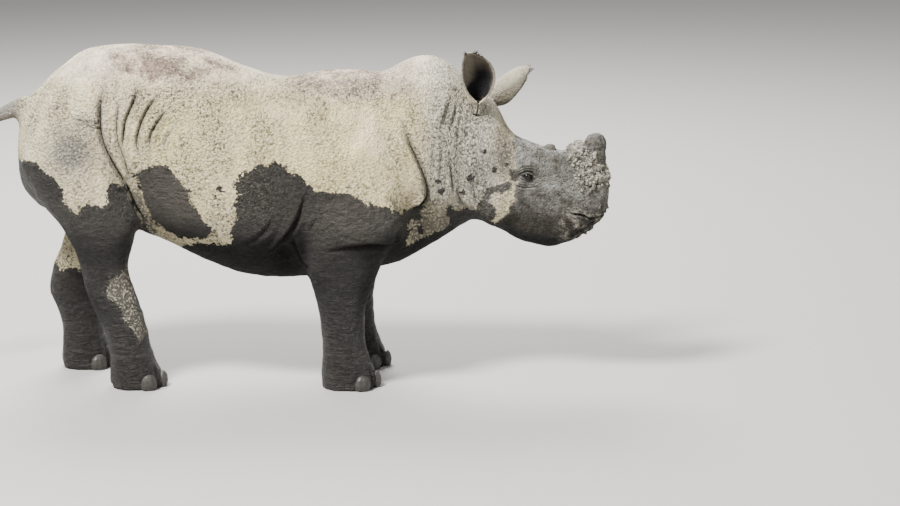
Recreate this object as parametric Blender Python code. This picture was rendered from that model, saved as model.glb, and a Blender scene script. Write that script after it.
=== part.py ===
"""A young white rhinoceros, standing with its head lowered, as a life-size model in metres.

The animal faces +X, its left side is +Y and its soles stand at z = 0. The body is lofted from named
stations, fused into one closed form and then parted with thin cuts into the pieces that a person names.
"""

import math

import bmesh
import bpy
import numpy as np
from mathutils import Matrix, Vector

# ---- driving dimensions, in metres ---------------------------------------------------------------

GAP = 0.0003  # clearance between neighbouring pieces
VOXEL = 0.011  # grain of the fused body, before it is thinned
BODY_TRIANGLES = 3450  # what the fused body is thinned to
HEAD_TURN = math.radians(-7.0)  # the head is turned a little to the animal's right
NECK_BEND = (0.30, 0.62)  # where along X that turn begins and ends
SIDES = {"right": -1.0, "left": 1.0}
DOWN = (0, 0, -1)

# Trunk and neck: x, top, bottom, half width, and how far up the widest level lies (0 to 1).
TRUNK_STATIONS = [
    (-1.012, 0.850, 0.700, 0.060, 0.50),  # back of the rump
    (-0.985, 0.946, 0.635, 0.122, 0.50),
    (-0.930, 1.008, 0.590, 0.176, 0.50),
    (-0.862, 1.072, 0.565, 0.214, 0.50),  # hip
    (-0.780, 1.126, 0.552, 0.240, 0.50),
    (-0.663, 1.143, 0.532, 0.250, 0.48),  # croup
    (-0.527, 1.139, 0.482, 0.252, 0.46),
    (-0.391, 1.126, 0.416, 0.264, 0.44),  # loin
    (-0.255, 1.071, 0.366, 0.280, 0.43),
    (-0.119, 1.033, 0.352, 0.280, 0.43),  # barrel
    (0.017, 1.056, 0.362, 0.262, 0.44),
    (0.136, 1.058, 0.378, 0.244, 0.45),  # withers
    (0.210, 1.049, 0.388, 0.226, 0.46),
    (0.289, 1.088, 0.412, 0.200, 0.48),
    (0.357, 1.107, 0.450, 0.176, 0.48),  # neck hump
    (0.425, 1.090, 0.492, 0.156, 0.46),
    (0.483, 1.038, 0.528, 0.138, 0.45),
    (0.530, 0.960, 0.560, 0.110, 0.45),  # inside the skull
]

# Head: the same columns, before the turn.
HEAD_STATIONS = [
    (0.475, 0.930, 0.600, 0.085, 0.50),  # inside the neck
    (0.505, 0.972, 0.560, 0.112, 0.52),
    (0.551, 0.976, 0.546, 0.124, 0.50),  # poll and jaw angle
    (0.595, 0.938, 0.530, 0.121, 0.46),
    (0.639, 0.856, 0.508, 0.113, 0.46),
    (0.680, 0.828, 0.487, 0.104, 0.48),  # eyes
    (0.731, 0.809, 0.470, 0.096, 0.48),
    (0.782, 0.798, 0.462, 0.091, 0.46),  # back horn
    (0.826, 0.784, 0.472, 0.088, 0.44),
    (0.870, 0.774, 0.490, 0.089, 0.43),
    (0.911, 0.768, 0.521, 0.092, 0.42),  # front horn and lips
    (0.952, 0.752, 0.556, 0.088, 0.44),
    (0.976, 0.722, 0.594, 0.076, 0.48),
]

# Legs from the top down: z, centre x, centre y (outwards), half length and half width.
FORELEG_STATIONS = [
    (0.860, 0.116, 0.095, 0.100, 0.060),
    (0.745, 0.118, 0.130, 0.150, 0.104),  # shoulder
    (0.645, 0.112, 0.148, 0.172, 0.122),
    (0.558, 0.105, 0.156, 0.169, 0.120),
    (0.490, 0.088, 0.160, 0.154, 0.110),  # elbow
    (0.429, 0.080, 0.162, 0.136, 0.098),
    (0.367, 0.080, 0.162, 0.109, 0.086),
    (0.308, 0.079, 0.160, 0.088, 0.078),
    (0.250, 0.079, 0.158, 0.077, 0.072),  # wrist
    (0.190, 0.082, 0.156, 0.073, 0.069),
    (0.130, 0.087, 0.154, 0.074, 0.070),
    (0.075, 0.095, 0.153, 0.084, 0.079),
    (0.030, 0.100, 0.152, 0.092, 0.086),  # foot
    (-0.020, 0.101, 0.152, 0.090, 0.084),
]
HINDLEG_STATIONS = [
    (0.960, -0.785, 0.090, 0.100, 0.060),
    (0.860, -0.842, 0.122, 0.138, 0.096),  # hip
    (0.760, -0.838, 0.140, 0.154, 0.124),
    (0.676, -0.796, 0.148, 0.160, 0.130),  # thigh
    (0.620, -0.762, 0.152, 0.150, 0.123),
    (0.558, -0.732, 0.155, 0.128, 0.108),
    (0.481, -0.722, 0.156, 0.097, 0.088),
    (0.419, -0.719, 0.155, 0.080, 0.074),
    (0.353, -0.707, 0.153, 0.080, 0.068),  # hock
    (0.287, -0.684, 0.151, 0.081, 0.066),
    (0.221, -0.659, 0.149, 0.075, 0.064),
    (0.150, -0.640, 0.147, 0.070, 0.064),
    (0.080, -0.627, 0.146, 0.078, 0.072),
    (0.030, -0.618, 0.146, 0.088, 0.080),  # foot
    (-0.020, -0.616, 0.146, 0.086, 0.079),
]
# How far the left legs stand from the right ones: (z, shift in x), read between the heights.
STRIDES = {
    "foreleg_left": [(0.60, 0.0), (0.30, 0.020), (0.0, 0.030)],
    "hindleg_left": [(0.64, 0.0), (0.48, -0.060), (0.35, -0.140), (0.27, -0.182), (0.0, -0.196)],
}

# Where the legs are parted from the trunk, in side view: x, z. The cutters run outwards from y = inner.
LEG_CUTS = {
    "foreleg": {
        "inner": 0.052,
        "outline": [
            (0.315, 0.60), (0.275, 0.71), (0.19, 0.785), (0.09, 0.80), (-0.01, 0.765),  # over the shoulder
            (-0.075, 0.68), (-0.10, 0.58), (-0.088, 0.50), (-0.064, 0.44), (-0.050, 0.39),  # behind the elbow
            (-0.050, -0.10), (0.224, -0.10), (0.224, 0.39), (0.242, 0.44), (0.280, 0.51),
        ],
    },
    "hindleg": {
        "inner": 0.062,
        "outline": [
            (-0.745, 0.915), (-0.735, 0.825), (-0.700, 0.735), (-0.650, 0.640), (-0.600, 0.555),
            (-0.520, 0.44), (-0.480, -0.10), (-1.10, -0.10),
            (-1.10, 0.78), (-0.99, 0.895), (-0.87, 0.945),  # over the haunch
        ],
    },
}
# Heights at which the lower leg begins, and the foot.
KNEE_CUTS = {"foreleg": 0.425, "hindleg": 0.455}
FOOT_CUT = 0.112
LEG_NAMES = {"foreleg": ("shoulder", "foreleg", "forefoot"), "hindleg": ("thigh", "shank", "hindfoot")}

# Tail: x, z, radius along its middle line.
TAIL_STATIONS = [
    (-0.930, 0.945, 0.038),
    (-1.000, 0.930, 0.033),
    (-1.060, 0.910, 0.023),
    (-1.130, 0.880, 0.018),
    (-1.195, 0.835, 0.015),
    (-1.240, 0.775, 0.0125),
    (-1.260, 0.710, 0.010),
]
TAIL_CUT_X = -1.040  # the root in front of this stays on the trunk
# The flat brush at its end: z, x, half length and half width.
BRUSH_STATIONS = [
    (0.735, -1.253, 0.0130, 0.0115),
    (0.712, -1.260, 0.0200, 0.0140),
    (0.680, -1.265, 0.0250, 0.0140),
    (0.645, -1.269, 0.0230, 0.0120),
    (0.610, -1.272, 0.0160, 0.0090),
    (0.585, -1.274, 0.0060, 0.0040),
]

EYE = {"place": (0.7130, 0.0, 0.715), "radius": 0.0185, "proud": 0.0050}

# Ear: share of its length, radius of the curled sheet, half the angle that the sheet wraps in degrees,
# and how far that stretch is swept towards the ear's back edge.
EAR_STATIONS = [
    (-0.14, 0.024, 174.0, 0.000),
    (0.02, 0.025, 174.0, 0.000),
    (0.12, 0.030, 164.0, 0.000),
    (0.26, 0.041, 126.0, -0.002),
    (0.44, 0.054, 94.0, -0.004),
    (0.62, 0.060, 76.0, -0.002),
    (0.78, 0.058, 62.0, 0.004),
    (0.90, 0.048, 48.0, 0.014),
    (0.98, 0.032, 36.0, 0.025),
    (1.03, 0.018, 22.0, 0.032),
]
EAR_LENGTH, EAR_WALL = 0.184, 0.006
# Each ear's root, the way it points and the way it opens, on the straight animal.
EARS = {
    "right": {"root": (0.535, -0.078, 0.958), "points": (0.06, -0.25, 0.95), "opens": (0.34, -0.92, 0.0)},
    "left": {"root": (0.553, 0.076, 0.948), "points": (0.76, 0.28, 0.50), "opens": (0.45, 0.45, -0.77)},
}

# Horns: height above the base's middle, shift forward, half length, half width.
FRONT_HORN = {
    "base": (0.924, 0.0, 0.740),
    "rings": [
        (-0.045, -0.010, 0.044, 0.043),
        (0.000, 0.000, 0.046, 0.045),
        (0.028, 0.001, 0.045, 0.042),
        (0.052, 0.004, 0.040, 0.038),
        (0.070, 0.008, 0.0375, 0.036),
        (0.087, 0.010, 0.035, 0.033),
        (0.101, 0.011, 0.027, 0.025),
        (0.109, 0.011, 0.013, 0.012),
    ],
}
BACK_HORN = {
    "base": (0.780, 0.0, 0.784),
    "rings": [
        (-0.010, 0.000, 0.023, 0.022),
        (0.012, 0.000, 0.021, 0.020),
        (0.021, 0.001, 0.016, 0.015),
        (0.026, 0.002, 0.007, 0.006),
    ],
}

NAIL = {"radii": (0.018, 0.030, 0.034), "middle_z": 0.020, "clear": 0.003}
NAIL_ANGLES = {"outer": 58.0, "middle": 0.0, "inner": -58.0}  # round the foot from straight ahead


# ---- curves and meshes ---------------------------------------------------------------------------


def smooth_rows(rows, per_span):
    """The stations with Catmull-Rom rows read between them."""
    rows = np.array(rows, float)
    ends = np.vstack([2 * rows[0] - rows[1], rows, 2 * rows[-1] - rows[-2]])
    found = []
    for i in range(len(rows) - 1):
        a, b, c, d = ends[i : i + 4]
        for t in np.arange(per_span) / per_span:
            square, cube = 2 * a - 5 * b + 4 * c - d, 3 * b - 3 * c + d - a
            found.append(0.5 * (2 * b + (c - a) * t + square * t**2 + cube * t**3))
    return np.array([*found, rows[-1]])


def power(value, exponent):
    return np.sign(value) * np.abs(value) ** exponent


def upright_ring(x, top, bottom, half_width, widest, count=36, squareness=2.1):
    """A closed section across the body, egg shaped about its widest level."""
    turn = np.arange(count) * 2 * math.pi / count
    middle = bottom + widest * (top - bottom)
    reach = np.where(np.sin(turn) > 0, top - middle, middle - bottom)
    y = half_width * power(np.cos(turn), 2 / squareness)
    z = middle + reach * power(np.sin(turn), 2 / squareness)
    return [(x, *place) for place in zip(y, z)]


def level_ring(z, x, y, half_length, half_width, count=28, squareness=2.2):
    """A closed section across a leg, seen from above."""
    turn = np.arange(count) * 2 * math.pi / count
    xs = x + half_length * power(np.cos(turn), 2 / squareness)
    ys = y + half_width * power(np.sin(turn), 2 / squareness)
    return [(*place, z) for place in zip(xs, ys)]


def new_object(name, mesh):
    made = bpy.data.objects.new(name, mesh)
    bpy.context.scene.collection.objects.link(made)
    return made


def mesh_object(name, form):
    """A Blender object from a bmesh, with its normals turned outwards."""
    bmesh.ops.recalc_face_normals(form, faces=form.faces)
    if form.calc_volume(signed=True) < 0:
        bmesh.ops.reverse_faces(form, faces=form.faces)
    mesh = bpy.data.meshes.new(name)
    form.to_mesh(mesh)
    form.free()
    return new_object(name, mesh)


def loft(name, rings):
    """Bridges closed rings of equal count and closes both ends."""
    form = bmesh.new()
    loops = []
    for ring in rings:
        verts = [form.verts.new(place) for place in ring]
        loops.append(verts)
    for low, high in zip(loops, loops[1:]):
        for i in range(len(low)):
            j = (i + 1) % len(low)
            form.faces.new((low[i], low[j], high[j], high[i]))
    for end in (loops[0], loops[-1]):
        centre = form.verts.new(sum((v.co for v in end), Vector()) / len(end))
        for i in range(len(end)):
            form.faces.new((end[i], end[(i + 1) % len(end)], centre))
    return mesh_object(name, form)


def ellipsoid(name, centre, radii, pitch=0.0, segments=28):
    """A muscle or a bump: a stretched ball, pitched nose down by the angle."""
    form = bmesh.new()
    place = Matrix.Translation(centre) @ Matrix.Rotation(pitch, 4, "Y") @ Matrix.Diagonal((*radii, 1.0))
    bmesh.ops.create_uvsphere(form, u_segments=segments, v_segments=segments // 2, radius=1.0, matrix=place)
    return mesh_object(name, form)


def tube(name, rows, count=20):
    """A round tube whose rows are x, y, z and radius."""
    rings = []
    places = np.array(rows)[:, :3]
    for i, (x, y, z, radius) in enumerate(rows):
        ahead = Vector(places[min(i + 1, len(rows) - 1)] - places[max(i - 1, 0)]).normalized()
        side = ahead.cross(Vector((0, 0, 1))).normalized()
        up = side.cross(ahead)
        ring = []
        for k in range(count):
            turn = 2 * math.pi * k / count
            ring.append(Vector((x, y, z)) + float(radius) * (math.cos(turn) * side + math.sin(turn) * up))
        rings.append(ring)
    return loft(name, rings)


# ---- the head's turn -----------------------------------------------------------------------------


def heading(x):
    start, end = NECK_BEND
    t = np.clip((x - start) / (end - start), 0, 1)
    return HEAD_TURN * t * t * (3 - 2 * t)


BEND_X = np.linspace(NECK_BEND[0], 1.2, 361)
BEND_STEP = BEND_X[1] - BEND_X[0]
BEND_PATH_X = BEND_X[0] + np.concatenate([[0], np.cumsum(np.cos(heading(BEND_X[1:])) * BEND_STEP)])
BEND_PATH_Y = np.concatenate([[0], np.cumsum(np.sin(heading(BEND_X[1:])) * BEND_STEP)])


def turned(place):
    """Where a point of the straight animal goes once the neck has bent sideways."""
    x, y, z = place
    if x <= NECK_BEND[0]:
        return Vector((x, y, z))
    angle = float(heading(x))
    along = float(np.interp(x, BEND_X, BEND_PATH_X))
    aside = float(np.interp(x, BEND_X, BEND_PATH_Y))
    return Vector((along - y * math.sin(angle), aside + y * math.cos(angle), z))


def turn_head(obj):
    for vertex in obj.data.vertices:
        vertex.co = turned(vertex.co)


# ---- modifiers and cuts --------------------------------------------------------------------------


def apply_modifiers(obj):
    graph = bpy.context.evaluated_depsgraph_get()
    mesh = bpy.data.meshes.new_from_object(obj.evaluated_get(graph))
    obj.modifiers.clear()
    old = obj.data
    obj.data = mesh
    bpy.data.meshes.remove(old)


def remove(*objects):
    for obj in objects:
        bpy.data.objects.remove(obj)


def join(name, pieces):
    """One object that holds the pieces' meshes, side by side."""
    form = bmesh.new()
    for piece in pieces:
        form.from_mesh(piece.data)
    mesh = bpy.data.meshes.new(name)
    form.to_mesh(mesh)
    form.free()
    remove(*pieces)
    return new_object(name, mesh)


def boolean(obj, operation, other):
    cut = obj.modifiers.new("cut", "BOOLEAN")
    cut.operation = operation
    cut.solver = "EXACT"
    cut.object = other
    apply_modifiers(obj)


def copy_of(obj, name, grown=0.0):
    """A copy, with its surface moved out by that distance."""
    made = new_object(name, obj.data.copy())
    if grown:
        normals = [v.normal.copy() for v in made.data.vertices]
        for vertex, normal in zip(made.data.vertices, normals):
            vertex.co += normal * grown
    return made


def sliced(obj, point, normal):
    """Cuts away what lies past the plane and closes the cut with a flat face."""
    form = bmesh.new()
    form.from_mesh(obj.data)
    geometry = form.verts[:] + form.edges[:] + form.faces[:]
    bmesh.ops.bisect_plane(
        form, geom=geometry, plane_co=point, plane_no=normal, dist=1e-6, clear_outer=True
    )
    rim = [edge for edge in form.edges if edge.is_boundary]
    bmesh.ops.holes_fill(form, edges=rim, sides=0)
    bmesh.ops.triangulate(form, faces=form.faces)
    form.to_mesh(obj.data)
    form.free()


def parted(obj, name, point, normal):
    """Cuts obj in two at a plane. What lies past it becomes a new object, GAP away from the rest."""
    normal = Vector(normal).normalized()
    other = copy_of(obj, name)
    sliced(obj, Vector(point) - normal * GAP / 2, normal)
    sliced(other, Vector(point) + normal * GAP / 2, -normal)
    return other


# ---- the whole body ------------------------------------------------------------------------------


def leg_rings(stations, side, stride):
    rows = smooth_rows(stations, 4)
    heights = [z for z, _ in stride][::-1]
    shifts = [shift for _, shift in stride][::-1]
    return [
        level_ring(z, x + np.interp(z, heights, shifts), side * y, length, width)
        for z, x, y, length, width in rows
    ]


def lofted_body():
    """The trunk, neck, head, legs and root of the tail as one fused and smoothed form."""
    pieces = [loft("trunk_loft", [upright_ring(*row) for row in smooth_rows(TRUNK_STATIONS, 4)])]
    head_rings = [upright_ring(*row, squareness=2.8) for row in smooth_rows(HEAD_STATIONS, 4)]
    pieces.append(loft("head_loft", head_rings))
    tail_rows = [(x, 0.0, z, radius) for x, z, radius in smooth_rows(TAIL_STATIONS, 4)]
    pieces.append(tube("tail_root", [row for row in tail_rows if row[0] > TAIL_CUT_X - 0.05]))
    for label, side in SIDES.items():
        for leg, stations in (("foreleg", FORELEG_STATIONS), ("hindleg", HINDLEG_STATIONS)):
            stride = STRIDES.get(f"{leg}_{label}", [(1.0, 0.0), (0.0, 0.0)])
            pieces.append(loft(f"{leg}_{label}_loft", leg_rings(stations, side, stride)))
        # cheek, brow over the eye and the swell beside the nostril
        pieces.append(ellipsoid("cheek", (0.625, side * 0.078, 0.650), (0.095, 0.050, 0.115), 0.35))
        pieces.append(ellipsoid("brow", (0.692, side * 0.076, 0.728), (0.052, 0.034, 0.028), 0.60))
        pieces.append(ellipsoid("nostril_swell", (0.915, side * 0.054, 0.690), (0.050, 0.044, 0.058)))
        pieces.append(ellipsoid("lip_swell", (0.902, side * 0.052, 0.604), (0.064, 0.046, 0.048)))
    pieces.append(ellipsoid("horn_boss", (0.885, 0.0, 0.752), (0.070, 0.064, 0.052), 0.05))
    body = join("body", pieces)
    turn_head(body)
    remesh = body.modifiers.new("fuse", "REMESH")
    remesh.mode = "VOXEL"
    remesh.voxel_size = VOXEL
    remesh.use_smooth_shade = True
    soften = body.modifiers.new("soften", "SMOOTH")
    soften.factor = 0.5
    soften.iterations = 7
    apply_modifiers(body)
    return body


def thinned(body):
    """Fewer triangles, where the surface is flattest first."""
    thin = body.modifiers.new("thin", "DECIMATE")
    thin.ratio = BODY_TRIANGLES / (2 * len(body.data.polygons))
    apply_modifiers(body)
    return body


# ---- parting the body ----------------------------------------------------------------------------


def prism(name, outline, y_from, y_to):
    """A cutter: the side-view outline run from one y to the other."""
    return loft(name, [[(x, y, z) for x, z in outline] for y in (y_from, y_to)])


def straight_floor(obj):
    """Gives the soles one flat level at z = 0."""
    sliced(obj, Vector((0, 0, 0)), Vector(DOWN))


def cut_leg(body, leg, label):
    """Takes a leg off the body and parts it at the elbow or knee and above the foot."""
    side = SIDES[label]
    cut = LEG_CUTS[leg]
    cutter = prism("cutter", cut["outline"], side * cut["inner"], side * 0.40)
    wide = copy_of(cutter, "wide_cutter", grown=2 * GAP)
    upper = copy_of(body, f"{LEG_NAMES[leg][0]}_{label}")
    boolean(upper, "INTERSECT", cutter)
    boolean(body, "DIFFERENCE", wide)
    remove(cutter, wide)
    lower = parted(upper, f"{LEG_NAMES[leg][1]}_{label}", (0, 0, KNEE_CUTS[leg]), DOWN)
    foot = parted(lower, f"{LEG_NAMES[leg][2]}_{label}", (0, 0, FOOT_CUT), DOWN)
    return [upper, lower, foot]


def turned_normal(x, normal):
    return Matrix.Rotation(float(heading(x)), 3, "Z") @ Vector(normal)


# ---- what sits on the body -----------------------------------------------------------------------


def trimmed(obj, carrier):
    """Cuts obj back to where it stands clear of what carries it."""
    grown = copy_of(carrier, "grown", grown=GAP)
    boolean(obj, "DIFFERENCE", grown)
    remove(grown)


def ear(label, head):
    """A leaf rolled into a funnel: closed round at the root, open towards the tip."""
    spec = EARS[label]
    up = Vector(spec["points"]).normalized()
    opens = Vector(spec["opens"])
    opens = (opens - opens.dot(up) * up).normalized()
    across = up.cross(opens)
    root = Vector(spec["root"])
    form = bmesh.new()
    rows = []
    for share, radius, wrap, sweep in smooth_rows(EAR_STATIONS, 1):
        lean = 0.018 * share**2  # the tip curls over the opening
        row = []
        for turn in np.linspace(-math.radians(wrap), math.radians(wrap), 11):
            back, aside = radius * (math.cos(turn) - 0.4), radius * math.sin(turn) + SIDES[label] * sweep
            place = root + up * float(share * EAR_LENGTH) + opens * float(lean - back)
            place += across * float(aside)
            row.append(form.verts.new(place))
        rows.append(row)
    for low, high in zip(rows, rows[1:]):
        for i in range(len(low) - 1):
            form.faces.new((low[i], low[i + 1], high[i + 1], high[i]))
    made = mesh_object(f"ear_{label}", form)
    turn_head(made)
    wall = made.modifiers.new("wall", "SOLIDIFY")
    wall.thickness = EAR_WALL
    wall.offset = 0.0
    apply_modifiers(made)
    trimmed(made, head)
    return made


def surface_y(obj, x, z, side):
    """The outermost y of obj at this x and z on that side."""
    hit, place, _, _ = obj.ray_cast(Vector((x, side * 1.0, z)), Vector((0, -side, 0)))
    return place.y if hit else 0.0


def eye(label, head):
    """The eyeball, sunk in the head with a little of it standing proud, and its socket."""
    side = SIDES[label]
    place = turned((EYE["place"][0], side * 0.10, EYE["place"][2]))
    y = surface_y(head, place.x, place.z, side) - side * (EYE["radius"] - EYE["proud"])
    ball = ellipsoid(f"eye_{label}", (place.x, y, place.z), (EYE["radius"],) * 3, segments=12)
    socket = ellipsoid("socket", (place.x, y, place.z), (EYE["radius"] + 2 * GAP,) * 3, segments=12)
    boolean(head, "DIFFERENCE", socket)
    remove(socket)
    return ball


def horn(name, spec, head):
    x0, y0, z0 = spec["base"]
    rings = [level_ring(z0 + up, x0 + ahead, y0, *halves, count=12) for up, ahead, *halves in spec["rings"]]
    made = loft(name, rings)
    turn_head(made)
    trimmed(made, head)
    return made


def nail(name, foot, angle):
    """A broad nail that hugs the front of the foot."""
    places = np.array([v.co for v in foot.data.vertices])
    sole = places[places[:, 2] < 0.001]
    middle = (sole.max(0) + sole.min(0)) / 2
    reach = (sole.max(0) - sole.min(0)) / 2
    turn = math.radians(angle)
    edge = middle + reach * (math.cos(turn), math.sin(turn), 0.0)
    centre = Vector((edge[0], edge[1], NAIL["middle_z"]))
    outward = math.atan2(reach[0] * math.sin(turn), reach[1] * math.cos(turn))
    form = bmesh.new()
    place = Matrix.Translation(centre) @ Matrix.Rotation(outward, 4, "Z")
    place @= Matrix.Diagonal((*NAIL["radii"], 1.0))
    bmesh.ops.create_uvsphere(form, u_segments=8, v_segments=6, radius=1.0, matrix=place)
    made = mesh_object(name, form)
    trimmed(made, foot)
    sliced(made, Vector((0, 0, NAIL["clear"])), Vector(DOWN))
    return made


def tail(trunk):
    """The tail past its root, and the brush of stiff hair at its end."""
    remove(parted(trunk, "root_end", (TAIL_CUT_X, 0, 0), (-1, 0, 0)))
    whole = tube("tail_whole", [(x, 0.0, z, radius) for x, z, radius in smooth_rows(TAIL_STATIONS, 2)], 10)
    made = parted(whole, "tail", (TAIL_CUT_X, 0, 0), (-1, 0, 0))
    brush_top = BRUSH_STATIONS[0][0]
    remove(whole, parted(made, "tail_end", (0, 0, brush_top), DOWN))
    rings = [level_ring(z - GAP, x, 0.0, *halves, count=10) for z, x, *halves in BRUSH_STATIONS]
    return [made, loft("tail_brush", rings)]


# ---- finishes ------------------------------------------------------------------------------------

FINISHES = {
    "dried_mud_hide": ((0.60, 0.54, 0.44), 0.90, 0.0),
    "wet_mud_hide": ((0.095, 0.088, 0.078), 0.62, 0.0),
    "horn": ((0.23, 0.22, 0.20), 0.80, 0.0),
    "nail": ((0.16, 0.145, 0.125), 0.55, 0.0),
    "eye": ((0.012, 0.009, 0.008), 0.08, 0.0),
    "bristle": ((0.035, 0.030, 0.027), 0.70, 0.0),
}


def finish_of(name):
    starts = {"eye": "eye", "horn": "horn", "nail": "nail", "tail_brush": "bristle"}
    wet = ("foreleg", "forefoot", "shank", "hindfoot")
    found = [slot for start, slot in starts.items() if name.startswith(start)]
    return found[0] if found else "wet_mud_hide" if name.startswith(wet) else "dried_mud_hide"


def material(slot):
    colour, roughness, metallic = FINISHES[slot]
    made = bpy.data.materials.get(slot) or bpy.data.materials.new(slot)
    made.use_nodes = True
    shader = made.node_tree.nodes["Principled BSDF"]
    shader.inputs["Base Color"].default_value = (*colour, 1.0)
    shader.inputs["Roughness"].default_value = roughness
    shader.inputs["Metallic"].default_value = metallic
    return made


def stand_at_origin(nodes):
    """Puts the middle of the footprint's box at the origin, by way of a parent."""
    places = np.array([v.co for node in nodes for v in node.data.vertices])
    low, high = places.min(0), places.max(0)
    base = bpy.data.objects.new("rhinoceros", None)
    bpy.context.scene.collection.objects.link(base)
    base.location = (-(low[0] + high[0]) / 2, -(low[1] + high[1]) / 2, -low[2])
    for node in nodes:
        node.parent = base


def build():
    body = thinned(lofted_body())
    straight_floor(body)
    nodes = []
    for leg in LEG_CUTS:
        for label in SIDES:
            nodes += cut_leg(body, leg, label)
    body.name = "trunk"
    neck = parted(body, "neck", (0.285, 0.0, 0.80), (0.975, 0.0, 0.22))
    skull_x = 0.512
    head = parted(neck, "head", turned((skull_x, 0.0, 0.75)), turned_normal(skull_x, (0.995, 0.0, 0.07)))
    nodes += [body, neck]
    nodes += [ear(label, head) for label in SIDES]
    nodes += [horn("horn_front", FRONT_HORN, head), horn("horn_back", BACK_HORN, head)]
    nodes += [eye(label, head) for label in SIDES]
    nodes.append(head)
    nodes += tail(body)
    for foot in [node for node in nodes if "foot_" in node.name]:
        place, label = foot.name.split("foot_")
        for where, angle in NAIL_ANGLES.items():
            nodes.append(nail(f"nail_{place}_{label}_{where}", foot, SIDES[label] * angle))
    for node in nodes:
        node.data.materials.clear()
        node.data.materials.append(material(finish_of(node.name)))
        node.data.shade_smooth()
        node.data.set_sharp_from_angle(angle=math.radians(40))
    stand_at_origin(nodes)
    return nodes


if __name__ == "__main__":
    for found in list(bpy.data.objects):
        bpy.data.objects.remove(found)
    build()
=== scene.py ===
import math

import bmesh
import bpy
import numpy as np
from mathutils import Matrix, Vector, noise
from mathutils.bvhtree import BVHTree


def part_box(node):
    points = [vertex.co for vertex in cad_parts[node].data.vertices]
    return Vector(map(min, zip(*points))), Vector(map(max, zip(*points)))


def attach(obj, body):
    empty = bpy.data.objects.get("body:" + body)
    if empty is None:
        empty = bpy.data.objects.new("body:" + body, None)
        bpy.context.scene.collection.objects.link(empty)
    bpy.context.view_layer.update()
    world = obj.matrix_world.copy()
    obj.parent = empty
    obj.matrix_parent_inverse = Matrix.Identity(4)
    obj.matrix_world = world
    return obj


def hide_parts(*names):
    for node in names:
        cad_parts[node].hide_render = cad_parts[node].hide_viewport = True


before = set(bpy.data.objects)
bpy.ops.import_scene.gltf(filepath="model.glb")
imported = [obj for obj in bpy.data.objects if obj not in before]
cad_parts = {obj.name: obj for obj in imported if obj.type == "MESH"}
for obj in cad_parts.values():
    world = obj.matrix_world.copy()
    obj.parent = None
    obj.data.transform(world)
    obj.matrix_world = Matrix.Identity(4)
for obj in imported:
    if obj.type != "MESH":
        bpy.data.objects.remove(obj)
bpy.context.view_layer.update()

# A white rhinoceros calf that has wallowed: one mud-coated skin over the fixed solids, with its eyes,
# horns, nails, mud clods and hair as pieces of their own. Lengths are metres. Most features are placed
# on the straight animal, before its neck turns the head aside: x forward, y to its left, z up.

shoulderEdgeX = -0.100  # how far back the shoulder piece reaches on the straight animal
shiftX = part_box("shoulder_right")[0].x - shoulderEdgeX
sides = {"right": -1.0, "left": 1.0}  # the way out along y
headTurn = math.radians(-7.0)  # towards the animal's right
neckBend = (0.30, 0.62)  # where along x the neck turns

# Small helpers


# linear colour of an sRGB hex one
def hexColour(text):
    parts = [int(text[i : i + 2], 16) / 255 for i in (1, 3, 5)]
    return tuple(c / 12.92 if c <= 0.04045 else ((c + 0.055) / 1.055) ** 2.4 for c in parts) + (1.0,)


def smooth(low, high, value):
    t = np.clip((value - low) / (high - low), 0.0, 1.0)
    return t * t * (3.0 - 2.0 * t)


# points on a smooth curve (Catmull-Rom) through the given ones
def curvePoints(points, perSpan=8):
    rows = np.array(points, float)
    ends = np.vstack([2 * rows[0] - rows[1], rows, 2 * rows[-1] - rows[-2]])
    found = []
    for i in range(len(rows) - 1):
        a, b, c, d = ends[i : i + 4]
        for t in np.arange(perSpan) / perSpan:
            square = 2 * a - 5 * b + 4 * c - d
            cube = 3 * b - 3 * c + d - a
            found.append(0.5 * (2 * b + (c - a) * t + square * t**2 + cube * t**3))
    return np.array([*found, rows[-1]])


def newObject(name, mesh):
    made = bpy.data.objects.new(name, mesh)
    bpy.context.scene.collection.objects.link(made)
    return made


def applyModifiers(obj):
    graph = bpy.context.evaluated_depsgraph_get()
    mesh = bpy.data.meshes.new_from_object(obj.evaluated_get(graph))
    obj.modifiers.clear()
    obj.data = mesh


# the form's mesh, and the form let go
def meshFrom(form, name):
    mesh = bpy.data.meshes.new(name)
    form.to_mesh(mesh)
    form.free()
    return mesh


def smoothShaded(mesh):
    mesh.polygons.foreach_set("use_smooth", [True] * len(mesh.polygons))


def readVertices(mesh, name):
    flat = np.empty(len(mesh.vertices) * 3, np.float32)
    mesh.vertices.foreach_get(name, flat)
    return flat.reshape(-1, 3).astype(float)


def readPlaces(mesh):
    return readVertices(mesh, "co")


def readNormals(mesh):
    return readVertices(mesh, "normal")


def writePlaces(mesh, places):
    mesh.vertices.foreach_set("co", places.astype(np.float32).ravel())
    mesh.update()


def readEdges(mesh):
    flat = np.empty(len(mesh.edges) * 2, np.int32)
    mesh.edges.foreach_get("vertices", flat)
    return flat.reshape(-1, 2)


# Taubin smoothing: facets go, the form keeps its size. A share below 1 holds a point back.
def relaxed(places, edges, rounds, share=1.0, pull=0.5, push=-0.53):
    count = np.maximum(np.bincount(edges.ravel(), minlength=len(places)), 1)[:, None]
    share = np.reshape(share, (-1, 1)) if np.ndim(share) else share
    for step in range(2 * rounds):
        total = np.zeros_like(places)
        for axis in range(3):
            total[:, axis] += np.bincount(edges[:, 0], places[edges[:, 1], axis], len(places))
            total[:, axis] += np.bincount(edges[:, 1], places[edges[:, 0], axis], len(places))
        places = places + share * (pull if step % 2 == 0 else push) * (total / count - places)
    return places


# smooth noise from -1 to 1 whose lumps are about one wave apart
def noiseAt(places, wave, seed=0.0):
    return np.array([noise.noise(place) for place in (places / wave + seed).tolist()])


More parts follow.
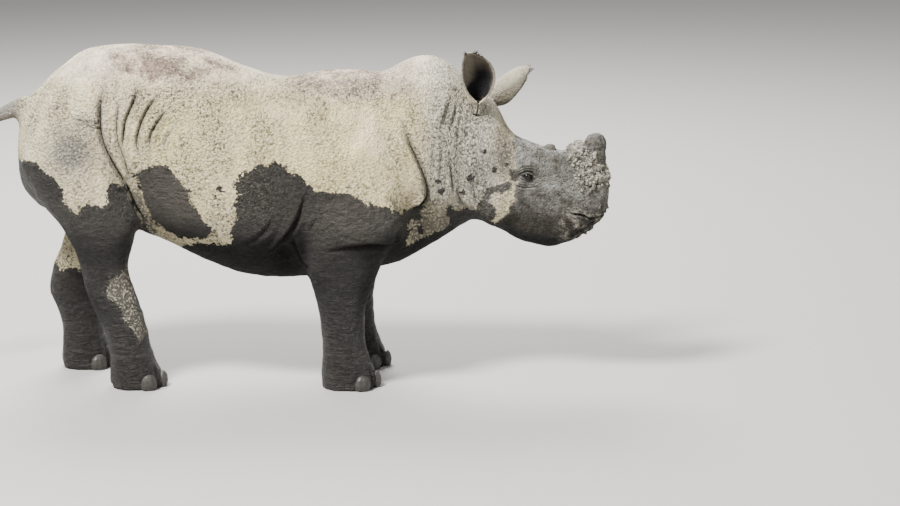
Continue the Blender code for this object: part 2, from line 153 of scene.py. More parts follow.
def setAttribute(mesh, name, values):
    layer = mesh.attributes.new(name, "FLOAT", "POINT")
    layer.data.foreach_set("value", np.asarray(values, np.float32))


# a node with its settings, each socket linked to an output or set to a value; gives one output back
def addNode(tree, kind, settings=None, links=None, out=0):
    node = tree.nodes.new(kind)
    for name, value in (settings or {}).items():
        setattr(node, name, value)
    for socket, value in (links or {}).items():
        if isinstance(value, bpy.types.NodeSocket):
            tree.links.new(value, node.inputs[socket])
        else:
            node.inputs[socket].default_value = value
    return node.outputs[out] if node.outputs else None


def newMaterial(name):
    made = bpy.data.materials.new(name)
    made.use_nodes = True
    made.node_tree.nodes.clear()
    return made, made.node_tree


# the shader and the material's output, with a relief from a height in millimetres where one is given
def endMaterial(tree, sockets, height=None, strength=1.0):
    if height:
        relief = {"Height": height, "Strength": strength, "Distance": 0.001}
        sockets["Normal"] = addNode(tree, "ShaderNodeBump", {}, relief)
    surface = addNode(tree, "ShaderNodeBsdfPrincipled", {}, sockets)
    addNode(tree, "ShaderNodeOutputMaterial", {}, {"Surface": surface})


# The neck's bend: straight places to places in the frame, and back

bendX = np.linspace(neckBend[0], 1.20, 361)
bendStep = bendX[1] - bendX[0]


def headingAt(x):
    return headTurn * smooth(*neckBend, x)


bendPathX = bendX[0] + np.concatenate([[0], np.cumsum(np.cos(headingAt(bendX[1:])) * bendStep)])
bendPathY = np.concatenate([[0], np.cumsum(np.sin(headingAt(bendX[1:])) * bendStep)])


def pathAt(x):
    alongX = np.where(x > bendX[0], np.interp(x, bendX, bendPathX), x)
    return alongX, np.interp(x, bendX, bendPathY), headingAt(x)


def bent(straight):
    x, y, z = np.atleast_2d(straight).T
    alongX, alongY, angle = pathAt(x)
    return np.stack([alongX - y * np.sin(angle) + shiftX, alongY + y * np.cos(angle), z], 1)


def straightened(places):
    x, y, z = np.atleast_2d(places).T
    x = x - shiftX
    found = x.copy()
    for _ in range(30):
        alongX, alongY, angle = pathAt(found)
        found = found + (x - alongX) * np.cos(angle) + (y - alongY) * np.sin(angle)
    alongX, alongY, angle = pathAt(found)
    return np.stack([found, (y - alongY) * np.cos(angle) - (x - alongX) * np.sin(angle), z], 1)


# Camera: square to the animal's right side, from far off and a little above

view = {
    "aim": (0.442 + shiftX, 0.0, 0.4275),
    "distance": 12.0,
    "tilt": math.radians(12.0),
    "across": 3.06,  # width of what it sees at the animal
    "sensor": 36.0,  # millimetres
}
cameraData = bpy.data.cameras.new("camera")
cameraData.sensor_width = view["sensor"]
cameraData.lens = view["sensor"] * view["distance"] / view["across"]
cameraData.clip_end = 100.0
camera = newObject("camera", cameraData)
aimX, aimY, aimZ = view["aim"]
away, above = view["distance"] * math.cos(view["tilt"]), view["distance"] * math.sin(view["tilt"])
camera.location = (aimX, aimY - away, aimZ + above)
camera.rotation_euler = (math.pi / 2 - view["tilt"], 0.0, 0.0)
bpy.context.scene.camera = camera

# Lights, sky and floor

light = {
    "key": {"place": (-2.6, -3.7, 6.5), "size": 1.8, "power": 1900.0},  # high, behind the viewer's left
    "fill": {"place": (4.5, -4.0, 2.8), "size": 4.0, "power": 120.0},
    "back": {"place": (-0.5, 4.5, 5.0), "size": 4.0, "power": 1080.0},
    "world": 0.52,
    "worldColour": "#f2f4f6",
    "floorColour": "#a3a19c",
}

for label in ("key", "fill", "back"):
    lamp = bpy.data.lights.new(label, "AREA")
    lamp.shape = "DISK"
    lamp.size = light[label]["size"]
    lamp.energy = light[label]["power"]
    lampObject = newObject(label, lamp)
    lampObject.location = light[label]["place"]
    toAim = Vector(view["aim"]) - Vector(light[label]["place"])
    lampObject.rotation_euler = toAim.to_track_quat("-Z", "Y").to_euler()

world = bpy.data.worlds.new("studio")
bpy.context.scene.world = world
world.use_nodes = True
sky = world.node_tree.nodes["Background"].inputs
sky["Color"].default_value = hexColour(light["worldColour"])
sky["Strength"].default_value = light["world"]

floorMesh = bpy.data.meshes.new("floor")
floorMesh.from_pydata([(-45, -40, 0), (45, -40, 0), (45, 40, 0), (-45, 40, 0)], [], [(0, 1, 2, 3)])
floor = newObject("floor", floorMesh)
floorMaterial, floorTree = newMaterial("studio floor, matt pale paint")
endMaterial(floorTree, {"Base Color": hexColour(light["floorColour"]), "Roughness": 0.9})
floorMesh.materials.append(floorMaterial)

print("camera, lights and floor are set")

# The skin: one closed form over the flesh solids, refined where it folds

fleshNodes = ["trunk", "neck", "head", "tail", "ear_right", "ear_left"]
for label in sides:
    fleshNodes += [f"{part}_{label}" for part in ("shoulder", "foreleg", "forefoot")]
    fleshNodes += [f"{part}_{label}" for part in ("thigh", "shank", "hindfoot")]
rebuiltNodes = ("tail", "ear_right", "ear_left")  # thin parts, made again finer

skinMake = {
    "grown": 0.0006,  # closes the thin cuts between the solids
    "grain": 0.0152,  # edge length of the first closed form
    "bodyRounds": 90,  # smoothing that takes the facets off
    "headShare": 0.45,  # how much of it the head gets
}


# a copy of a fixed node's mesh, with its loose triangles joined up and pushed out a little
def grownCopy(node, grown):
    form = bmesh.new()
    form.from_mesh(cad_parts[node].data)
    bmesh.ops.remove_doubles(form, verts=form.verts, dist=1e-5)
    form.normal_update()
    for vertex in form.verts:
        vertex.co += vertex.normal * grown
    return meshFrom(form, node)


# an object of that mesh, closed again in even faces
def evenObject(name, mesh, grain):
    made = newObject(name, mesh)
    even = made.modifiers.new("even", "REMESH")
    even.mode = "VOXEL"
    even.voxel_size = grain
    applyModifiers(made)
    return made


def fusedFlesh():
    gathered = bmesh.new()
    for node in fleshNodes:
        if node not in rebuiltNodes:
            part = grownCopy(node, skinMake["grown"])
            gathered.from_mesh(part)
            bpy.data.meshes.remove(part)
    return evenObject("skin", meshFrom(gathered, "skin"), skinMake["grain"])


def flatSoles(places):
    places[:, 2] = np.where(places[:, 2] < 0.0035, 0.0, places[:, 2])
    return places


skin = fusedFlesh()
places = readPlaces(skin.data)
straight = straightened(places)
share = 1.0 - (1.0 - skinMake["headShare"]) * smooth(0.52, 0.62, straight[:, 0])
places = relaxed(places, readEdges(skin.data), skinMake["bodyRounds"], share)
writePlaces(skin.data, flatSoles(places))
print("skin fused and smoothed:", len(skin.data.polygons), "faces")


# cuts every edge whose two ends are chosen, so the faces between them become four
def splitEdges(mesh, chosen):
    form = bmesh.new()
    form.from_mesh(mesh)
    form.verts.ensure_lookup_table()
    edges = [edge for edge in form.edges if chosen[edge.verts[0].index] and chosen[edge.verts[1].index]]
    bmesh.ops.subdivide_edges(form, edges=edges, cuts=1, use_grid_fill=True)
    loose = [face for face in form.faces if len(face.verts) > 4]
    bmesh.ops.triangulate(form, faces=loose)
    form.to_mesh(mesh)
    form.free()


# Ears: a leaf rolled into a funnel, closed round at the root and open towards the tip. Each row has the
# share of the length, the radius of the curl, half the angle it wraps in degrees, and its sweep backwards.

earMake = {
    "length": 0.184,
    "wall": 0.0062,
    "bow": 0.018,  # how far the tip bends towards the opening
    "set": 0.4,  # where in the curl the ear's middle line runs, in radii
    "rows": [
        (-0.14, 0.024, 177.0, 0.000),
        (0.02, 0.025, 177.0, 0.000),
        (0.12, 0.030, 174.0, 0.000),
        (0.26, 0.041, 130.0, -0.002),
        (0.44, 0.054, 94.0, -0.004),
        (0.62, 0.060, 76.0, -0.002),
        (0.78, 0.058, 62.0, 0.004),
        (0.90, 0.048, 48.0, 0.014),
        (0.98, 0.032, 36.0, 0.025),
        (1.03, 0.018, 22.0, 0.032),
    ],
    "right": {"root": (0.535, -0.078, 0.958), "points": (0.06, -0.25, 0.95), "opens": (0.34, -0.92, 0.0)},
    "left": {"root": (0.553, 0.076, 0.948), "points": (0.76, 0.28, 0.50), "opens": (0.43, 0.31, -0.83)},
}


def earAxes(label):
    spec = earMake[label]
    up = Vector(spec["points"]).normalized()
    opens = Vector(spec["opens"])
    opens = (opens - opens.dot(up) * up).normalized()
    return np.array(spec["root"]), np.array(up), np.array(opens), np.array(up.cross(opens))


# a place on the curled sheet
def earPlace(label, share, radius, turn, sweep):
    root, up, opens, across = earAxes(label)
    back = radius * (math.cos(turn) - earMake["set"])
    aside = radius * math.sin(turn) + sides[label] * sweep
    bow = earMake["bow"] * share**2
    return root + up * share * earMake["length"] + opens * (bow - back) + across * aside


def earObject(label):
    form = bmesh.new()
    grid = []
    for share, radius, wrap, sweep in curvePoints(earMake["rows"], 3):
        turns = np.linspace(-math.radians(wrap), math.radians(wrap), 21)
        row = [bent(earPlace(label, share, radius, turn, sweep))[0] for turn in turns]
        grid.append([form.verts.new(place) for place in row])
    for low, high in zip(grid, grid[1:]):
        for i in range(len(low) - 1):
            form.faces.new((low[i], low[i + 1], high[i + 1], high[i]))
    bmesh.ops.recalc_face_normals(form, faces=form.faces)
    made = newObject("ear", meshFrom(form, "ear"))
    wall = made.modifiers.new("wall", "SOLIDIFY")
    wall.thickness = earMake["wall"]
    wall.offset = 0.0
    rounding = made.modifiers.new("round", "SUBSURF")
    rounding.levels = rounding.render_levels = 1
    applyModifiers(made)
    return made


# Tail: x, z and radius along its middle line

tailMake = {
    "rows": [
        (-0.930, 0.945, 0.0400),
        (-1.000, 0.930, 0.0330),
        (-1.060, 0.910, 0.0235),
        (-1.130, 0.880, 0.0180),
        (-1.195, 0.835, 0.0150),
        (-1.240, 0.775, 0.0125),
        (-1.260, 0.710, 0.0100),
        (-1.268, 0.650, 0.0060),
    ],
    "around": 20,
}


def tailObject():
    form = bmesh.new()
    rows = curvePoints(tailMake["rows"], 9)
    rings = []
    for i, (x, z, radius) in enumerate(rows):
        aheadX, aheadZ, _ = rows[min(i + 1, len(rows) - 1)] - rows[max(i - 1, 0)]
        up = Vector((-aheadZ, 0, aheadX)).normalized()
        ring = []
        for k in range(tailMake["around"]):
            turn = 2 * math.pi * k / tailMake["around"]
            aside, over = float(radius) * math.cos(turn), float(radius) * math.sin(turn)
            ring.append(form.verts.new(Vector((x + shiftX, aside, z)) + up * over))
        rings.append(ring)
    for low, high in zip(rings, rings[1:]):
        for k in range(len(low)):
            following = (k + 1) % len(low)
            form.faces.new((low[k], low[following], high[following], high[k]))
    form.faces.new(rings[0])
    form.faces.new(rings[-1])
    bmesh.ops.recalc_face_normals(form, faces=form.faces)
    return newObject("tail", meshFrom(form, "tail"))


def unite(body, part):
    union = body.modifiers.new("unite", "BOOLEAN")
    union.operation = "UNION"
    union.solver = "EXACT"
    union.object = part
    applyModifiers(body)
    bpy.data.objects.remove(part)


# what needs finer faces than the body: the head, and the tail with its root
def headOrTail(straight):
    return (straight[:, 0] > 0.44) | ((straight[:, 0] < -0.93) & (straight[:, 2] > 0.84))


splitEdges(skin.data, headOrTail(straightened(readPlaces(skin.data))))
for label in sides:
    unite(skin, earObject(label))
unite(skin, tailObject())
print("ears and tail joined:", len(skin.data.polygons), "faces")


# gives the skin its map, which the coat's colours are baked through
def unwrap(obj):
    obj.data.uv_layers.new(name="OFBake")
    bpy.context.view_layer.objects.active = obj
    obj.select_set(True)
    bpy.ops.object.mode_set(mode="EDIT")
    bpy.ops.mesh.select_all(action="SELECT")
    bpy.ops.uv.smart_project(angle_limit=math.radians(62.0), island_margin=0.002)
    bpy.ops.object.mode_set(mode="OBJECT")
    obj.select_set(False)


unwrap(skin)
print("skin unwrapped")

# Folds of the skin. "line": x and z in side view, in millimetres, laid on each side of the straight animal.
# "shape": depth and width of the groove, height of the lip beside it, and how far the lip leans to one
# side. "ends": the shares of its length over which it starts and dies away.

foldMake = {
    "flank": {
        "shape": (0.017, 0.0125, 0.012, 0.0), "ends": (0.16, 0.04),
        "line": [(-706, 1034), (-714, 991), (-715, 943), (-712, 887), (-699, 837), (-675, 786), (-652, 740),
                 (-624, 681), (-600, 616), (-565, 556), (-520, 512)],
    },
    "flankCrease1": {
        "shape": (0.0065, 0.009, 0.007, 0.2), "ends": (0.14, 0.16),
        "line": [(-653, 990), (-658, 919), (-656, 862), (-641, 815), (-630, 772), (-616, 722)],
    },
    "flankCrease2": {
        "shape": (0.0085, 0.01, 0.01, 0.2), "ends": (0.16, 0.24),
        "line": [(-587, 1032), (-608, 975), (-629, 927), (-637, 879), (-641, 832)],
    },
    "flankCrease3": {
        "shape": (0.009, 0.01, 0.01, 0.2), "ends": (0.16, 0.24),
        "line": [(-526, 1006), (-563, 951), (-583, 903), (-593, 862), (-592, 812)],
    },
    "flankCrease4": {
        "shape": (0.008, 0.01, 0.0095, 0.2), "ends": (0.25, 0.3),
        "line": [(-488, 968), (-525, 918), (-547, 878), (-555, 825)],
    },
    "flankCrease5": {
        "shape": (0.005, 0.01, 0.006, 0.0), "ends": (0.35, 0.4),
        "line": [(-462, 920), (-492, 872), (-512, 832)],
    },
    "rump": {
        "shape": (0.0055, 0.008, 0.004, 0.0), "ends": (0.35, 0.1),
        "line": [(-809, 931), (-762, 923), (-718, 912)],
    },
    "rumpLow": {
        "shape": (0.005, 0.008, 0.0035, 0.0), "ends": (0.35, 0.1),
        "line": [(-800, 915), (-756, 908), (-716, 898)],
    },
    "shoulder": {
        "shape": (0.012, 0.016, 0.011, -0.6), "ends": (0.3, 0.12),
        "line": [(272, 925), (292, 884), (312, 834), (333, 790), (354, 741), (368, 695), (367, 650),
                 (343, 622), (305, 606)],
    },
    "neck1": {
        "shape": (0.0026, 0.0125, 0.0045, -0.5), "ends": (0.3, 0.6),
        "line": [(474, 975), (468, 941), (462, 912), (448, 870), (438, 820)],
    },
    "neck2": {
        "shape": (0.0014, 0.009, 0.0022, 0.0), "ends": (0.3, 0.55),
        "line": [(492, 955), (487, 920), (478, 870), (472, 820)],
    },
    "neck3": {
        "shape": (0.0016, 0.009, 0.0026, 0.0), "ends": (0.2, 0.5),
        "line": [(521, 952), (513, 930), (504, 885)],
    },
    "neck4": {
        "shape": (0.004, 0.014, 0.0075, -0.6), "ends": (0.35, 0.6),
        "line": [(460, 988), (449, 968), (439, 942), (430, 912), (421, 875), (416, 835)],
    },
    "neck5": {
        "shape": (0.006, 0.009, 0.0035, 0.0), "ends": (0.3, 0.25),
        "line": [(448, 800), (456, 734), (461, 690), (464, 645)],
    },
    "earBase1": {
        "shape": (0.003, 0.006, 0.002, 0.3), "ends": (0.25, 0.25),
        "line": [(520, 935), (545, 921), (575, 925), (592, 941)],
    },
    "earBase2": {
        "shape": (0.0022, 0.006, 0.0016, 0.3), "ends": (0.3, 0.3),
        "line": [(510, 919), (545, 901), (583, 907), (606, 925)],
    },
    "elbow": {
        "shape": (0.012, 0.014, 0.0065, 0.5), "ends": (0.6, 0.2),
        "line": [(9, 468), (50, 490), (110, 504), (176, 508), (225, 502), (266, 496)],
    },
    "armFront": {
        "shape": (0.012, 0.0125, 0.008, -0.8), "ends": (0.35, 0.1),
        "line": [(250, 660), (266, 618), (277, 580), (279, 545), (275, 518), (262, 494)],
    },
    "armRib1": {
        "shape": (0.0035, 0.009, 0.0025, 0.0), "ends": (0.35, 0.35),
        "line": [(0, 520), (20, 555), (50, 585), (85, 600)],
    },
    "armRib2": {
        "shape": (0.003, 0.009, 0.0022, 0.0), "ends": (0.35, 0.35),
        "line": [(-30, 545), (-10, 585), (22, 620), (60, 640)],
    },
    "behindArm": {
        "shape": (0.011, 0.012, 0.009, -0.4), "ends": (0.5, 0.15),
        "line": [(-14, 722), (-35, 686), (-46, 650), (-58, 612), (-78, 574), (-102, 541), (-142, 501),
                 (-180, 466)],
    },
    "armBack": {
        "shape": (0.01, 0.012, 0.006, 0.5), "ends": (0.25, 0.2),
        "line": [(-83, 552), (-78, 512), (-67, 479), (-50, 446), (-30, 415)],
    },
    "belly": {
        "shape": (0.0045, 0.014, 0.0035, 0.0), "ends": (0.4, 0.4),
        "line": [(-125, 640), (-155, 580), (-205, 530), (-270, 490)],
    },
    "jaw": {
        "shape": (0.005, 0.012, 0.003, -0.4), "ends": (0.4, 0.3),
        "line": [(548, 760), (532, 700), (537, 640), (560, 590)],
    },
    "throat": {
        "shape": (0.0055, 0.012, 0.0035, 0.0), "ends": (0.4, 0.25),
        "line": [(470, 700), (484, 640), (512, 590)],
    },
    "mouth": {
        "shape": (0.009, 0.0065, 0.004, 0.3), "ends": (0.18, 0.02),
        "line": [(852, 593), (870, 589), (888, 590), (909, 583), (928, 577), (946, 580), (970, 585)],
    },
    "nostril": {
        "shape": (0.017, 0.0065, 0.004, 0.5), "ends": (0.15, 0.15),
        "line": [(899, 708), (913, 702), (926, 690), (930, 676)],
    },
    "nostrilRim": {
        "shape": (0.003, 0.006, 0.002, 0.0), "ends": (0.3, 0.3),
        "line": [(884, 716), (903, 726), (930, 716), (946, 694), (944, 668)],
    },
    "neck6": {
        "shape": (0.0045, 0.009, 0.003, 0.0), "ends": (0.35, 0.35),
        "line": [(416, 850), (420, 790), (414, 730), (424, 680)],
    },
    "neck7": {
        "shape": (0.0035, 0.009, 0.0025, 0.0), "ends": (0.35, 0.35),
        "line": [(396, 860), (390, 800), (398, 750)],
    },
}
leftMove = (0.006, -0.004)  # the left side's folds lie a little elsewhere

fineFolds = ("mouth", "nostril")


# what rays are cast at: the mesh's faces with their corners at the given places
def sideTree(mesh, places):
    return BVHTree.FromPolygons(places.tolist(), [tuple(face.vertices) for face in mesh.polygons])


# a side-view line laid on that side of the straight skin
def laidOn(tree, line, label, perSpan=6):
    side = sides[label]
    found = []
    for x, z in curvePoints(line, perSpan):
        place, _, _, _ = tree.ray_cast(Vector((x, side * 0.6, z)), Vector((0, -side, 0)))
        if place and place.y * side > 0:
            found.append(place)
    return np.array(found)


# distance to a curve, the share of its length reached there, and on which side of it each place is
def nearestOnCurve(places, curve):
    start, step = curve[:-1], np.diff(curve, axis=0)
    offset = places[:, None] - start
    t = np.clip((offset * step).sum(2) / np.maximum((step**2).sum(1), 1e-12), 0.0, 1.0)
    toPlace = offset - t[:, :, None] * step
    distance = np.sqrt((toPlace**2).sum(2))
    nearest = distance.argmin(1)
    best = np.arange(len(places)), nearest
    return distance[best], (nearest + t[best]) / len(step), step[nearest], toPlace[best]


def closeTo(places, curve, reach):
    return np.flatnonzero(np.all((places > curve.min(0) - reach) & (places < curve.max(0) + reach), 1))


def foldsOn(tree):
    found = []
    for foldName, fold in foldMake.items():
        for label in sides:
            move = leftMove if label == "left" and foldName not in fineFolds else (0.0, 0.0)
            line = [(x / 1000 + move[0], z / 1000 + move[1]) for x, z in fold["line"]]
            curve = laidOn(tree, line, label)
            if len(curve) > 2:
                found.append((foldName, label, curve))
    return found


skinTree = sideTree(skin.data, straightened(readPlaces(skin.data)))
foldLines = foldsOn(skinTree)

# Fine wrinkles in arcs round the eye: the centre in side view, the first radius, how far apart they lie,
# how many, and from what angle to what angle they run

wrinkleMake = {
    "underEye": {"centre": (0.718, 0.722), "radius": 0.0250, "step": 0.0090, "count": 4, "arc": (196, 338)},
    "overEye": {"centre": (0.716, 0.712), "radius": 0.0270, "step": 0.0090, "count": 3, "arc": (30, 155)},
    "oval": (1.15, 0.82),  # longer than high
    "shape": (0.0030, 0.0046, 0.0024, 0.0),
}


def wrinklesOn(tree):
    found = []
    for group in ("underEye", "overEye"):
        spec = wrinkleMake[group]
        for i in range(spec["count"]):
            radius = spec["radius"] + i * spec["step"]
            turns = np.radians(np.linspace(spec["arc"][0] + 6 * i, spec["arc"][1] - 6 * i, 9))
            centre = np.array(spec["centre"])
            reach = radius * np.array(wrinkleMake["oval"])
            line = [centre + reach * (math.cos(turn), math.sin(turn)) for turn in turns]
            for label in sides:
                found.append((label, laidOn(tree, line, label, 2)))
    return found


# Eyes of the straight animal: where the solids have them

eyeSpots = {}
for label, side in sides.items():
    low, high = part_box(f"eye_{label}")
    middle = straightened(np.array((low + high) / 2))[0]
    ring, normal, _, _ = skinTree.find_nearest(Vector(middle + (0, side * 0.03, 0)))
    eyeSpots[label] = {"middle": middle, "radius": (high.z - low.z) / 2, "out": np.array(normal)}


# forward, up and outward at an eye, on the straight animal
def eyeAxes(label):
    out = eyeSpots[label]["out"]
    ahead = np.array((1.0, 0, 0)) - out * out[0]
    ahead = ahead / np.linalg.norm(ahead)
    up = np.cross(out, ahead) * -sides[label]
    return ahead, up if up[2] > 0 else -up, out


# Refinement: the first faces are halved on the head, feet and folds, again in the folds and round the eyes

refineMake = {
    "beside": 2.6,  # in widths of a fold
    "within": 1.1,
    "deep": 0.006,  # folds from this depth on are halved twice
    "fine": 0.009,  # metres from the mouth and the nostrils
    "eye": ((0.085, 2), (0.046, 3)),  # metres from an eye, and how often it is halved there
}


def wantedLevel(straight):
    level = np.zeros(len(straight))
    x, y, z = straight.T
    level[headOrTail(straight) | (z < 0.30)] = 1
    level[(x > 0.87) & (z < 0.76)] = 2  # lips and nostrils
    for foldName, _, curve in foldLines:
        depth, width, _, _ = foldMake[foldName]["shape"]
        near = closeTo(straight, curve, refineMake["beside"] * width)
        distance = nearestOnCurve(straight[near], curve)[0]
        zones = [(refineMake["beside"] * width, 1)]
        if depth >= refineMake["deep"]:
            zones.append((refineMake["within"] * width, 2))
        if foldName in fineFolds:
            zones.append((refineMake["fine"], 3))
        for reach, wanted in zones:
            level[near] = np.maximum(level[near], np.where(distance < reach, wanted, 0))
    for spot in eyeSpots.values():
        distance = np.linalg.norm(straight - spot["middle"], axis=1)
        for reach, wanted in refineMake["eye"]:
            level = np.maximum(level, np.where(distance < reach, wanted, 0))
    return level


# how far along the ear a place is, and its radius from the curl's middle line over the curl's own
def earShare(straight, label):
    root, up, opens, across = earAxes(label)
    offset = straight - root
    share = offset @ up / earMake["length"]
    rows = np.array(earMake["rows"])
    radius = np.interp(share, rows[:, 0], rows[:, 1])
    sweep = np.interp(share, rows[:, 0], rows[:, 3]) * sides[label]
    towards = offset @ opens - earMake["bow"] * share**2 - earMake["set"] * radius
    aside = offset @ across - sweep
    return share, np.hypot(towards, aside) / radius, np.stack([towards, aside], 1)


def onEar(straight, label, low=0.10):
    share, reach, _ = earShare(straight, label)
    return (share > low) & (share < 1.15) & (reach < 1.35)


def onEitherEar(straight):
    return onEar(straight, "right") | onEar(straight, "left")


for step in (1, 2, 3):
    straight = straightened(readPlaces(skin.data))
    level = wantedLevel(straight)
    if step == 1:
        level[headOrTail(straight)] = 0  # these were cut once before the ears and tail went on
    thinTail = (straight[:, 0] < -1.05) & (straight[:, 2] > 0.6)
    level[onEitherEar(straight) | thinTail] = 0  # made fine already
    splitEdges(skin.data, level >= step)
places = readPlaces(skin.data)
places = flatSoles(relaxed(places, readEdges(skin.data), 3))
writePlaces(skin.data, places)
print("skin refined:", sum(len(face.vertices) - 2 for face in skin.data.polygons), "triangles")

# Sculpting, on the straight animal: broad forms, folds, toes, lids and lumps


def standStraight(mesh):
    writePlaces(mesh, straightened(readPlaces(mesh)))


def facingOut(normals):
    return smooth(0.15, 0.6, np.abs(normals[:, 1]))


formMake = [  # x, z, reach along x, reach along z, height: swells and hollows on both flanks
    (0.105, 0.820, 0.120, 0.130, 0.012),  # shoulder blade
    (0.110, 0.590, 0.130, 0.085, 0.021),  # upper arm
    (-0.135, 0.780, 0.060, 0.190, -0.010),  # behind the shoulder
    (-0.110, 0.450, 0.045, 0.060, -0.045),  # armpit
    (0.335, 0.560, 0.045, 0.090, -0.024),  # between the arm and the throat
    (0.225, 0.560, 0.045, 0.060, 0.012),  # the arm's front edge
    (0.235, 0.860, 0.060, 0.130, -0.007),  # in front of the shoulder
    (0.350, 0.980, 0.080, 0.080, 0.006),  # side of the hump
    (-0.780, 0.800, 0.100, 0.130, 0.008),  # haunch
    (-0.560, 0.950, 0.090, 0.090, -0.009),  # hollow of the flank
    (-0.600, 0.700, 0.050, 0.120, -0.007),  # behind the flank fold
    (-0.690, 0.760, 0.035, 0.160, 0.005),  # thigh's front edge
    (-0.330, 0.620, 0.160, 0.120, 0.006),  # belly
    (0.625, 0.640, 0.050, 0.070, 0.005),  # jaw muscle
    (0.650, 0.790, 0.030, 0.040, -0.004),  # temple
    (0.790, 0.680, 0.050, 0.050, -0.004),  # before the cheek
    (0.490, 0.780, 0.030, 0.100, -0.006),  # behind the jaw
]

mesh = skin.data
standStraight(mesh)
places, normals = readPlaces(mesh), readNormals(mesh)
height = np.zeros(len(places))
for x, z, reachX, reachZ, rise in formMake:
    height += rise * np.exp(-(((places[:, 0] - x) / reachX) ** 2) - ((places[:, 2] - z) / reachZ) ** 2)
inEar = {label: onEar(places, label) for label in sides}
height *= facingOut(normals) * ~(inEar["right"] | inEar["left"])
places += normals * height[:, None]
writePlaces(mesh, places)

height = np.zeros(len(places))
# painted shade, where the skin folds, dips or is seamed
creaseShade = np.zeros(len(places))
foldAway = np.full(len(places), 0.05)  # distance to the nearest fold's line
foldSide = foldAway.copy()  # the same, less than nothing on one side of it
normals = readNormals(mesh)

grooveMake = {
    "groove": 0.55,  # in widths: the groove's own reach, the lip's place and the lip's reach
    "lipAt": 1.25,
    "lip": 0.75,
    "deep": 0.012,  # a groove this deep is quite dark
    "fade": 0.0062,  # how far a shallow one draws its dark line in
}


# a groove with a lip along each side, into height and into painted shade in the groove. A positive lean
# raises the lip that lies forward of a line drawn downwards, or above a line drawn forwards.
def pressFold(curve, shape, ends, label):
    depth, width, lip, lean = shape
    near = closeTo(places, curve, 3.0 * width)
    if not len(near):
        return
    distance, share, step, toPlace = nearestOnCurve(places[near], curve)
    side = -sides[label] * np.sign((np.cross(step, toPlace) * normals[near]).sum(1))
    taper = smooth(0.0, ends[0], share) * (1.0 - smooth(1.0 - ends[1], 1.0, share))
    groove = np.exp(-((distance / (grooveMake["groove"] * width)) ** 2)) * taper
    fromLip = distance - grooveMake["lipAt"] * width
    bulge = np.exp(-((fromLip / (grooveMake["lip"] * width)) ** 2)) * taper
    height[near] += lip * bulge * (1.0 + lean * side) - depth * groove
    strength = min(1.0, depth / grooveMake["deep"])
    creaseShade[near] = np.maximum(creaseShade[near], groove * strength)
    away = distance + grooveMake["fade"] * (1.0 - taper * strength)
    foldSide[near] = np.where(away < foldAway[near], away * np.where(side < 0, -1, 1), foldSide[near])
    foldAway[near] = np.minimum(foldAway[near], away)


swelledTree = sideTree(mesh, places)
for foldName, label, curve in foldsOn(swelledTree):
    pressFold(curve, foldMake[foldName]["shape"], foldMake[foldName]["ends"], label)
for label, curve in wrinklesOn(swelledTree):
    if len(curve) > 2:
        pressFold(curve, wrinkleMake["shape"], (0.3, 0.3), label)

# Toes: grooves between the nails, up the front of each foot

toeMake = {"turns": (-30.0, 30.0), "heights": (0.006, 0.03, 0.06, 0.085), "shape": (0.006, 0.010, 0.004, 0.0)}
straightTree = sideTree(mesh, places)
for label in sides:
    for foot in ("forefoot", "hindfoot"):
        low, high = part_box(f"{foot}_{label}")
        centreX, centreY = (low.x + high.x) / 2 - shiftX, (low.y + high.y) / 2
        for turn in toeMake["turns"]:
            ahead, aside = math.cos(math.radians(turn)), math.sin(math.radians(turn))
            line = []
            for z in toeMake["heights"]:
                start = Vector((centreX + 0.2 * ahead, centreY + 0.2 * aside, z))
                place = straightTree.ray_cast(start, Vector((-ahead, -aside, 0)))[0]
                line.append(place)
            pressFold(curvePoints([tuple(place) for place in line], 4), toeMake["shape"], (0.05, 0.4), label)

# Marks of the mud, as outlines in side view: x and z in millimetres

